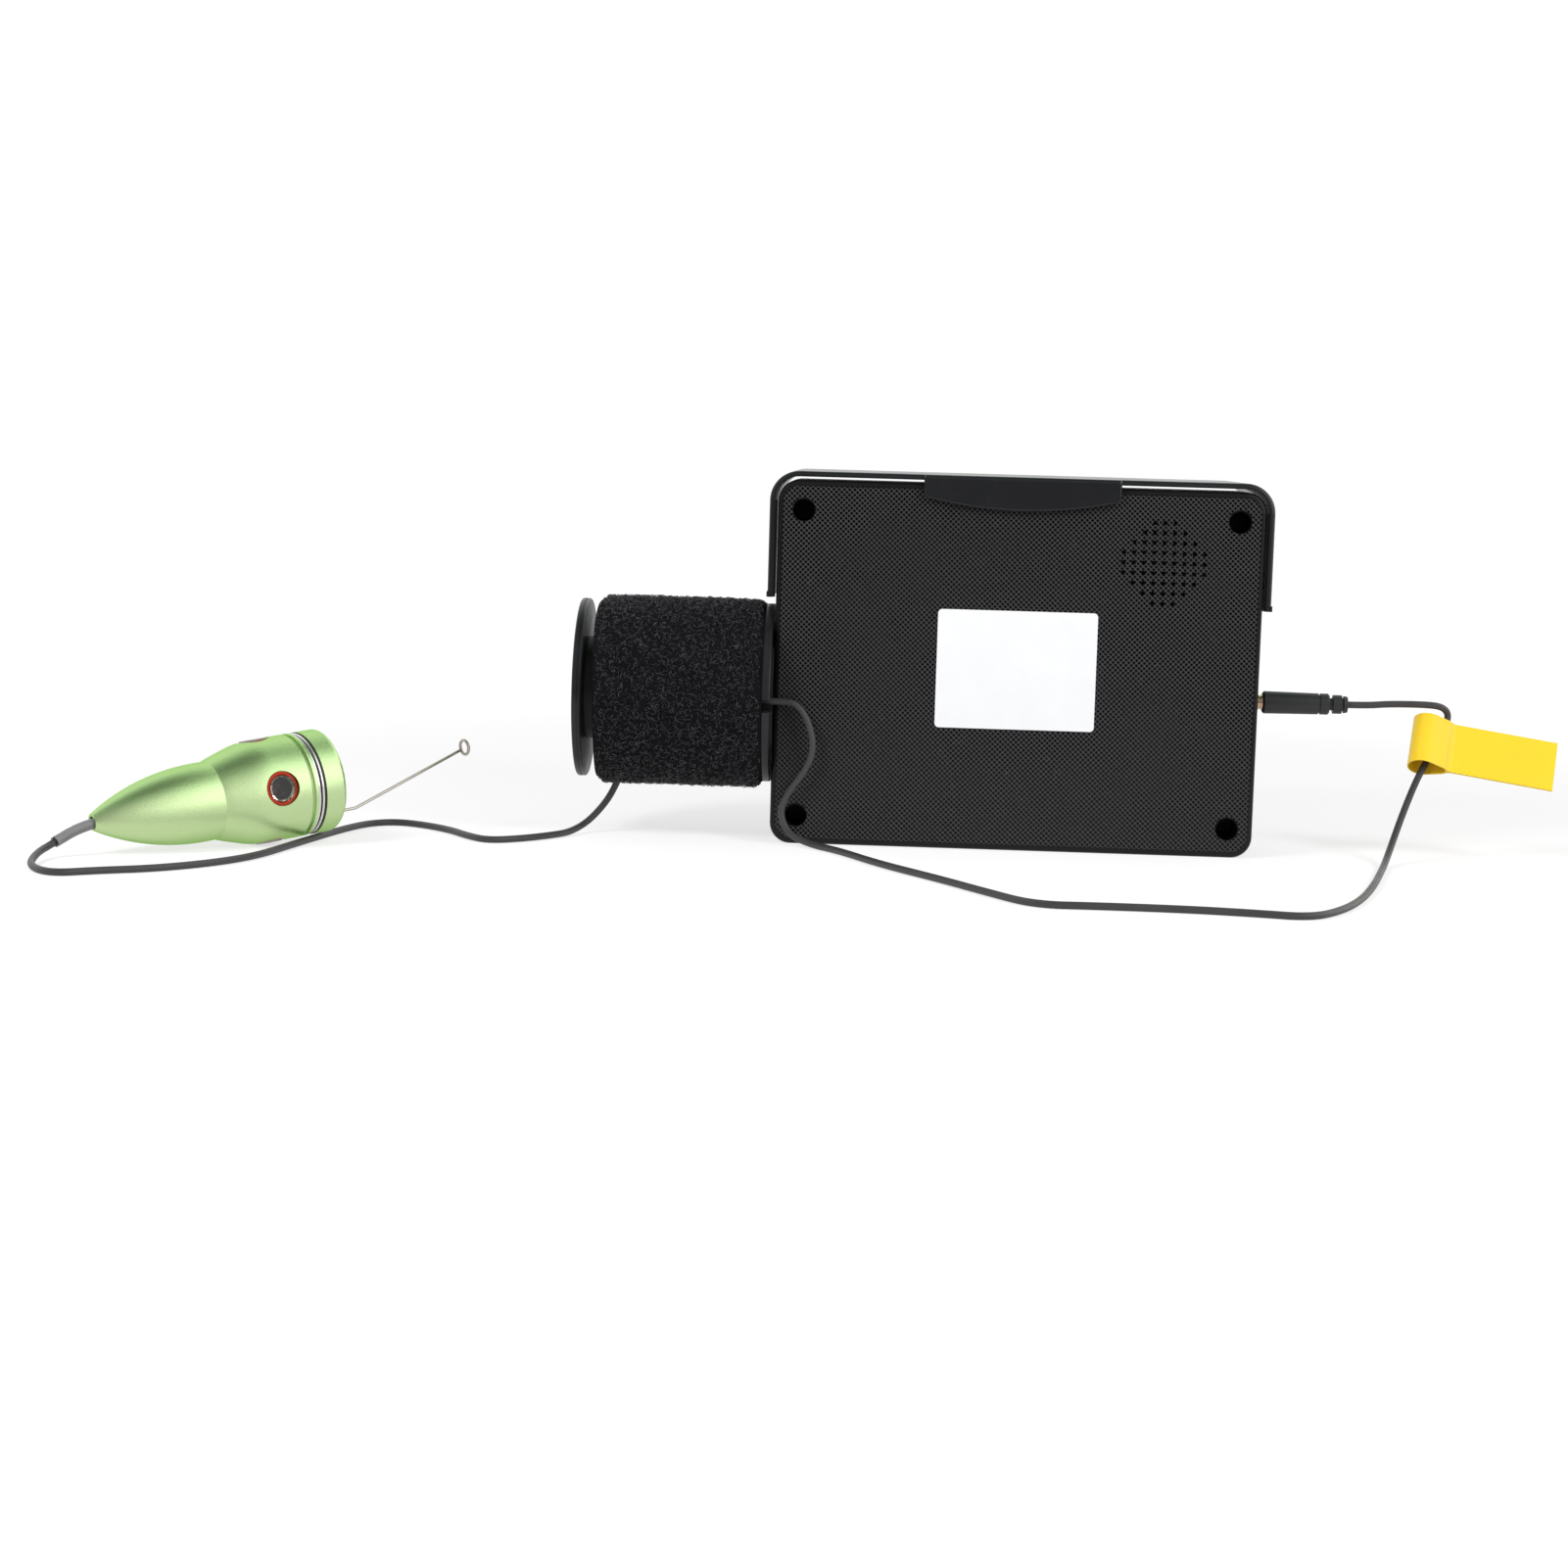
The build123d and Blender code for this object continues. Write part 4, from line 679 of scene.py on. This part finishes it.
def addSleeve():
    line = cordLine("cameraCable")
    kept, run = [line[0]], 0.0
    for before, after in zip(line, line[1:]):
        step = (after - before).length
        if run + step > sleeveSet["length"]:
            kept.append(before.lerp(after, (sleeveSet["length"] - run) / step))
            break
        run += step
        kept.append(after)
    data = bpy.data.curves.new("shrinkSleeve", "CURVE")
    data.dimensions = "3D"
    data.bevel_depth = sleeveSet["bore"] + sleeveSet["wall"]
    data.bevel_resolution = sleeveSet["sides"]
    spline = data.splines.new("POLY")
    spline.points.add(len(kept) - 1)
    for point, place in zip(spline.points, kept):
        point.co = (*place, 1.0)
    sleeve = bpy.data.objects.new("shrinkSleeve", data)
    bpy.context.scene.collection.objects.link(sleeve)
    pickOnly(sleeve)
    bpy.ops.object.convert(target="MESH")
    sleeve = bpy.context.object
    editOf(sleeve)
    bpy.ops.mesh.select_all(action="SELECT")
    bpy.ops.mesh.remove_doubles(threshold=sleeveSet["merge"])
    bpy.ops.mesh.normals_make_consistent(inside=False)
    leaveEdit()
    wall = sleeve.modifiers.new("wall", "SOLIDIFY")
    wall.thickness = sleeveSet["wall"]
    wall.offset = -1
    wall.use_even_offset = True
    applyAll(sleeve)
    smooth(sleeve)
    return sleeve


sleeve = addSleeve()
dress(sleeve, finishes["sleeve"], stands=["shrink_sleeve"])
print("fish finder: sleeve made")


# red rings that seal the side windows
sealSet = {
    "outer": 0.0048, "section": 0.00060, "seat": 0.0128, "sunk": 0.85, "middle": 0.0506, "roll": 170.5,
    "count": 4, "segments": (64, 14),
}


def addSeals():
    along = Vector(headAxis).normalized()
    level = Vector((-along.y, along.x, 0)).normalized()
    up = along.cross(level)
    tail = Vector(headTail)
    around, across = sealSet["segments"]
    rings = []
    for count in range(sealSet["count"]):
        angle = math.radians(sealSet["roll"] + count * 360 / sealSet["count"])
        out = level * math.cos(angle) + up * math.sin(angle)
        height = sealSet["seat"] + sealSet["section"] * sealSet["sunk"]
        centre = tail + along * sealSet["middle"] + out * height
        bpy.ops.mesh.primitive_torus_add(
            major_radius=sealSet["outer"] - sealSet["section"], minor_radius=sealSet["section"],
            major_segments=around, minor_segments=across, location=centre,
            rotation=out.to_track_quat("Z", "Y").to_euler())
        rings.append(bpy.context.object)
    seals = joinAll(rings, "windowRings")
    settle(seals)
    smooth(seals, 60)
    return seals


dress(addSeals(), finishes["redSeal"], stands=["window_seals"])
print("fish finder: window rings set")


# cable turns on the spool, seen at the ends of the wrap
windingLow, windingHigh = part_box("cable_winding")
windingSet = {
    "turn": 0.00099, "outer": windingHigh.z - windingLow.z, "layers": 5, "pitch": 0.00206,
    "ends": 0.003, "inset": 0.0011, "shift": 0.0012, "drop": 0.0019, "segments": (72, 8),
}


def addWinding():
    middle = (windingLow.z + windingHigh.z) / 2
    radius = windingSet["outer"] / 2 - windingSet["turn"]
    around, across = windingSet["segments"]
    places = []
    for turn in range(int((windingHigh.x - windingLow.x - windingSet["ends"]) / windingSet["pitch"])):
        places.append((windingHigh.x - windingSet["inset"] - turn * windingSet["pitch"], radius))
    for layer in range(windingSet["layers"]):
        shift = windingSet["shift"] if layer == 0 else 0.0
        places.append((windingLow.x + windingSet["inset"] + shift, radius - layer * windingSet["drop"]))
    rings = []
    for x, size in places:
        bpy.ops.mesh.primitive_torus_add(
            major_radius=size, minor_radius=windingSet["turn"], major_segments=around, minor_segments=across,
            location=(x, 0, middle), rotation=(0, math.pi / 2, 0))
        rings.append(bpy.context.object)
    winding = joinAll(rings, "cableTurns")
    settle(winding)
    smooth(winding, 60)
    return winding


dress(addWinding(), finishes["cable"], stands=["cable_winding"])
print("fish finder: winding made")


# fleece strap wound twice round the cable
strapLow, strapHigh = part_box("wrap_strap")
strapSet = {
    "width": strapHigh.x - strapLow.x, "thick": 0.00100, "pitch": 0.00104, "inner": 0.02502,
    "turns": 2.0, "start": 70.0,  # degrees from +Y towards +Z, where the strip begins and ends
    "wobble": 0.00030, "wobbleScale": (9.0, 90.0, 3.0), "cells": (330, 40),
    "edgeDrop": 0.0014, "edgeRoom": 0.0026, "sway": 0.00035, "swayPhase": 0.6, "swayRoom": 0.02,
    "bevel": 0.0003, "seed": 4,
}
loopSet = {
    "count": 4400, "radius": 0.00050, "fibre": 0.000072, "cut": -0.35, "segments": (10, 3),
    "margins": (0.0002, 0.0004), "depth": 0.9, "lean": 0.55, "sizes": (0.6, 1.35), "heights": (0.7, 1.25),
}
hairSet = {
    "count": 1500, "length": 0.0011, "radius": 0.000022, "steps": 5, "taper": 0.6, "bow": 0.35,
    "margins": (0.0003, 0.0006), "lean": 0.32, "sizes": (0.45, 1.15),
}
stitchSet = {
    "count": 150, "radius": 0.00021, "inset": 0.00012, "depth": 0.55, "drift": (-0.2, 0.2),
    "sizes": (0.75, 1.2), "long": 2.1, "tall": 1.2, "segments": (8, 5),
}


def strapPoint(turns, across, depth):  # a point on the wound strip
    angle = math.radians(strapSet["start"]) + turns * 2 * math.pi
    radius = strapSet["inner"] + strapSet["pitch"] * turns + depth
    scale = strapSet["wobbleScale"]
    ripple = noise.noise(Vector((turns * scale[0], across * scale[1], scale[2]))) * strapSet["wobble"]
    edge = min(across - strapLow.x, strapHigh.x - across)
    radius += ripple - strapSet["edgeDrop"] * max(0.0, 1 - edge / strapSet["edgeRoom"]) ** 2 * min(1.0, turns)
    sway = strapSet["sway"] * math.sin(angle * 2 + strapSet["swayPhase"])
    sway = sway * min(1.0, (strapHigh.x - across) / strapSet["swayRoom"])
    x = min(across + sway, strapHigh.x)
    return Vector((x, radius * math.cos(angle), (strapLow.z + strapHigh.z) / 2 + radius * math.sin(angle)))


def addStrap():
    cells = strapSet["cells"]
    bpy.ops.mesh.primitive_grid_add(x_subdivisions=cells[0], y_subdivisions=cells[1], size=1.0)
    strap = bpy.context.object
    strap.name = "wrapStrap"
    settle(strap)
    for vertex in strap.data.vertices:
        turns = (vertex.co.x + 0.5) * strapSet["turns"]
        across = strapLow.x + (vertex.co.y + 0.5) * strapSet["width"]
        vertex.co = strapPoint(turns, across, 0.0)
    editOf(strap)
    bpy.ops.mesh.select_all(action="SELECT")
    bpy.ops.mesh.normals_make_consistent(inside=False)
    leaveEdit()
    outward = strap.data.polygons[0]
    centre = Vector((outward.center.x, 0, (strapLow.z + strapHigh.z) / 2))
    if outward.normal.dot(outward.center - centre) < 0:
        editOf(strap)
        bpy.ops.mesh.flip_normals()
        leaveEdit()
    body = strap.modifiers.new("body", "SOLIDIFY")
    body.thickness = strapSet["thick"]
    body.offset = 1
    edges = strap.modifiers.new("edges", "BEVEL")
    edges.width = strapSet["bevel"]
    edges.segments = 2
    applyAll(strap)
    smooth(strap, 50)
    return strap


def repeatMesh(name, corners, faces, places):  # copies of one small mesh, as one piece
    count = len(corners)
    points = np.concatenate([corners @ turn.T + shift for turn, shift in places])
    loops = np.concatenate([np.asarray(faces, int) + count * index for index in range(len(places))])
    mesh = bpy.data.meshes.new(name)
    mesh.from_pydata(points.tolist(), [], loops.tolist())
    mesh.update()
    made = bpy.data.objects.new(name, mesh)
    bpy.context.scene.collection.objects.link(made)
    return made


def takeMesh(piece):  # its corners and triangles; the piece itself goes
    editOf(piece)
    bpy.ops.mesh.select_all(action="SELECT")
    bpy.ops.mesh.quads_convert_to_tris()
    leaveEdit()
    corners = np.array([vertex.co for vertex in piece.data.vertices])
    faces = [list(face.vertices) for face in piece.data.polygons]
    bpy.data.objects.remove(piece)
    return corners, faces


def oneLoop():  # half a ring of thin fibre
    around, across = loopSet["segments"]
    bpy.ops.mesh.primitive_torus_add(
        major_radius=1.0, minor_radius=loopSet["fibre"] / loopSet["radius"],
        major_segments=around, minor_segments=across, rotation=(math.pi / 2, 0, 0))
    loop = bpy.context.object
    settle(loop)
    editOf(loop)
    bpy.ops.mesh.select_all(action="SELECT")
    bpy.ops.mesh.bisect(plane_co=(0, 0, loopSet["cut"]), plane_no=(0, 0, 1), clear_inner=True, use_fill=True)
    leaveEdit()
    return takeMesh(loop)


def oneHair():  # a thin curved fibre, tapering to its end
    steps = hairSet["steps"]
    corners, faces = [], []
    for step in range(steps):
        rise = step / (steps - 1)
        width = hairSet["radius"] / hairSet["length"] * (1.0 - hairSet["taper"] * rise)
        for side in range(3):
            angle = side * 2 * math.pi / 3
            lean = hairSet["bow"] * rise * rise
            corners.append((lean + width * math.cos(angle), width * math.sin(angle), rise))
    for step in range(steps - 1):
        for side in range(3):
            first, second = step * 3 + side, step * 3 + (side + 1) % 3
            faces.append((first, second, second + 3))
            faces.append((first, second + 3, first + 3))
    faces += [(2, 1, 0), (steps * 3 - 3, steps * 3 - 2, steps * 3 - 1)]
    return np.array(corners), faces


def oneStitch():
    around, along = stitchSet["segments"]
    bpy.ops.mesh.primitive_uv_sphere_add(segments=around, ring_count=along, radius=1.0)
    return takeMesh(bpy.context.object)


def frameAt(turns):  # outward, along the axis and round the wrap
    angle = math.radians(strapSet["start"]) + turns * 2 * math.pi
    out = Vector((0, math.cos(angle), math.sin(angle)))
    side = Vector((1, 0, 0))
    return out, side, out.cross(side)


def addHairs(name, dice):
    corners, faces = oneHair()
    places = []
    for count in range(hairSet["count"]):
        turns = strapSet["turns"] - dice.uniform(0.0, 1.0)
        across = dice.uniform(strapLow.x + hairSet["margins"][0], strapHigh.x - hairSet["margins"][1])
        ahead = Vector((dice.gauss(0, 1), dice.gauss(0, 1), dice.gauss(0, 1)))
        up = (frameAt(turns)[0] + ahead * hairSet["lean"]).normalized()
        beside = up.cross(ahead).normalized()
        size = hairSet["length"] * dice.uniform(*hairSet["sizes"])
        basis = np.array([beside.cross(up) * size, beside * size, up * size]).T
        places.append((basis, np.array(strapPoint(turns, across, strapSet["thick"]))))
    return repeatMesh(name, corners, faces, places)


def addStitches(name, dice):  # thread that binds the strip's outer end
    corners, faces = oneStitch()
    places = []
    for count in range(stitchSet["count"]):
        turns = strapSet["turns"] - (count + dice.uniform(*stitchSet["drift"])) / stitchSet["count"]
        out, side, forward = frameAt(turns)
        size = stitchSet["radius"] * dice.uniform(*stitchSet["sizes"])
        basis = np.array([side * size, forward * size * stitchSet["long"], out * size * stitchSet["tall"]]).T
        centre = strapPoint(turns, strapLow.x + stitchSet["inset"], strapSet["thick"] * stitchSet["depth"])
        places.append((basis, np.array(centre)))
    return repeatMesh(name, corners, faces, places)


def addPile(name, corners, faces, dice, lowTurn, highTurn):
    places = []
    for count in range(loopSet["count"]):
        turns = dice.uniform(lowTurn, highTurn)
        across = dice.uniform(strapLow.x + loopSet["margins"][0], strapHigh.x - loopSet["margins"][1])
        out, side, forward = frameAt(turns)
        spin = dice.uniform(0, math.pi)
        ahead = side * math.cos(spin) + forward * math.sin(spin)
        lean = dice.gauss(0, loopSet["lean"])
        up = out * math.cos(lean) + out.cross(ahead) * math.sin(lean)
        size = loopSet["radius"] * dice.uniform(*loopSet["sizes"])
        basis = [ahead * size, up.cross(ahead) * size, up * size * dice.uniform(*loopSet["heights"])]
        centre = strapPoint(turns, across, strapSet["thick"] * loopSet["depth"])
        places.append((np.array(basis).T, np.array(centre)))
    return repeatMesh(name, corners, faces, places)


strap = addStrap()
corners, faces = oneLoop()
dice = random.Random(strapSet["seed"])
pile = []
for third in range(3):  # the outer turn, in three pieces
    ends = strapSet["turns"] - (third + 1) / 3, strapSet["turns"] - third / 3
    pile.append(addPile(f"loopPile{third + 1}", corners, faces, dice, *ends))
pile.append(addHairs("strayHairs", dice))
# the ground under the pile is painted darker as painted shade, the loops and hairs lighter as painted
# highlight
fleece = surface("shadedFleeceGround", (0.0055, 0.0052, 0.0062), 0.95, 1700.0, 120.0, 0.00025, swing=0.35,
                 plain={"Specular IOR Level": 0.15})
fibre = surface("litFleeceFibre", (0.0385, 0.0370, 0.0447), 0.34, 2500.0, 3900.0, 0.00001, swing=0.62,
                plain={"Specular IOR Level": 0.65})
thread = surface("bindingThread", (0.300, 0.290, 0.310), 0.55, 2500.0, 900.0, 0.00001, swing=0.4)
dress(strap, fleece, stands=["wrap_strap"])
for piece in pile:
    dress(piece, fibre)
stitches = addStitches("bindingStitches", dice)
dress(stitches, thread)
pile.append(stitches)


# marks on the keys: none of them words
markSet = {
    "lift": 0.00012, "proud": 0.00006, "tone": (0.62, 0.63, 0.64), "bevel": 0.00003,
    "ring": 0.0014, "ringWire": 0.00024, "ringOpen": 0.80, "ringFlat": 0.25, "ringSegments": (48, 8),
    "stem": (0.0004, 0.0015), "stemRise": 0.0011,
    "line": (0.0028, 0.0004), "lineRises": (-0.0009, 0.0, 0.0009),
    "arrow": 0.0016, "arrowShift": 0.0002, "dot": 0.0013, "dotSides": 40,
}
markFinish = surface("keyMark", markSet["tone"], 0.5, 3200.0, 200.0, 0.000004, swing=0.05)


def bar(x, z, size, y):
    bpy.ops.mesh.primitive_cube_add(size=1.0, location=(x, y, z), scale=(size[0], markSet["lift"], size[1]))
    return bpy.context.object


def disc(x, z, radius, sides, y, turn=0.0):
    bpy.ops.mesh.primitive_cylinder_add(vertices=sides, radius=radius, depth=markSet["lift"],
                                        location=(x, y, z), rotation=(-math.pi / 2, 0, 0))
    made = bpy.context.object
    settle(made)
    if turn:
        editOf(made)
        bpy.ops.mesh.select_all(action="SELECT")
        bpy.ops.transform.rotate(value=turn, orient_axis="Y", center_override=(x, y, z))
        leaveEdit()
    return made


def brokenRing(x, z, y):
    radius = markSet["ring"]
    around, across = markSet["ringSegments"]
    bpy.ops.mesh.primitive_torus_add(
        major_radius=radius, minor_radius=markSet["ringWire"], major_segments=around, minor_segments=across,
        location=(x, y, z), rotation=(-math.pi / 2, 0, 0))
    ring = bpy.context.object
    settle(ring)
    pickFaces(ring, lambda face: face.center.z > z + radius * markSet["ringOpen"])
    bpy.ops.mesh.delete(type="FACE")
    bpy.ops.mesh.select_mode(type="EDGE")
    bpy.ops.mesh.select_all(action="DESELECT")
    bpy.ops.mesh.select_non_manifold()
    bpy.ops.mesh.edge_face_add()
    bpy.ops.mesh.select_all(action="SELECT")
    bpy.ops.transform.resize(value=(1, markSet["ringFlat"], 1), center_override=(x, y, z))
    leaveEdit()
    return ring


def addMark(node, body, kind):
    lowest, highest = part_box(node)
    x, z = (lowest.x + highest.x) / 2, (lowest.z + highest.z) / 2
    y = highest.y + markSet["proud"] - markSet["lift"] / 2
    if kind == "power":
        parts = [brokenRing(x, z, y), bar(x, z + markSet["stemRise"], markSet["stem"], y)]
    elif kind == "menu":
        parts = [bar(x, z + rise, markSet["line"], y) for rise in markSet["lineRises"]]
    elif kind == "up":
        parts = [disc(x, z - markSet["arrowShift"], markSet["arrow"], 3, y)]
    elif kind == "down":
        parts = [disc(x, z + markSet["arrowShift"], markSet["arrow"], 3, y, math.pi)]
    else:
        parts = [disc(x, z, markSet["dot"], markSet["dotSides"], y)]
    mark = joinAll(parts, kind + "Mark")
    settle(mark)
    soft = mark.modifiers.new("soft", "BEVEL")
    soft.width = markSet["bevel"]
    soft.segments = 2
    applyAll(mark)
    smooth(mark, 40)
    dress(mark, markFinish, body)


for kind in ("power", "menu", "up", "down", "record"):
    addMark(kind + "_button", kind + "_key", kind)
print("fish finder: key marks set")


# finishes of the solids that stay
dressed = {
    "housing": ["rear_shell", "front_shell"],
    "hood": ["sun_hood"],
    "flange": ["inner_flange", "outer_flange"],
    "keys": ["power_button", "menu_button", "up_button", "down_button", "record_button"],
    "display": ["lcd_panel"],
    "board": ["main_board", "lamp_boards", "camera_board"],
    "chip": ["board_chips"],
    "switch": ["key_switches"],
    "indicator": ["status_led"],
    "cell": ["battery_pack"],
    "foam": ["battery_pad"],
    "speaker": ["speaker"],
    "socket": ["av_jack"],
    "socketMetal": ["charge_socket"],
    "spool": ["spool_core"],
    "screw": ["shell_screws", "spool_mount_screws", "cover_screws"],
    "grip": ["plug_body", "strain_relief"],
    "seal": ["cap_seal"],
    "carrier": ["lamp_carrier"],
    "emitter": ["lamp_emitters"],
    "lens": ["camera_module"],
    "lamp": ["ring_lamps"],
    "head": ["head_body", "front_cap"],
    "rings": ["steel_rings"],
    "wire": ["wire_arm"],
    "contact": ["plug_shank"],
    "glass": ["front_glass"],
    "window": ["window_lenses"],
    "cover": ["screen_lens"],
    "label": ["rating_label"],
    "tag": ["length_tag"],
}
for finish, names in dressed.items():
    for name in names:
        for slot in nodes[name].material_slots:
            slot.material = finishes[finish]
print("fish finder: solids dressed")

print("fish finder: done")
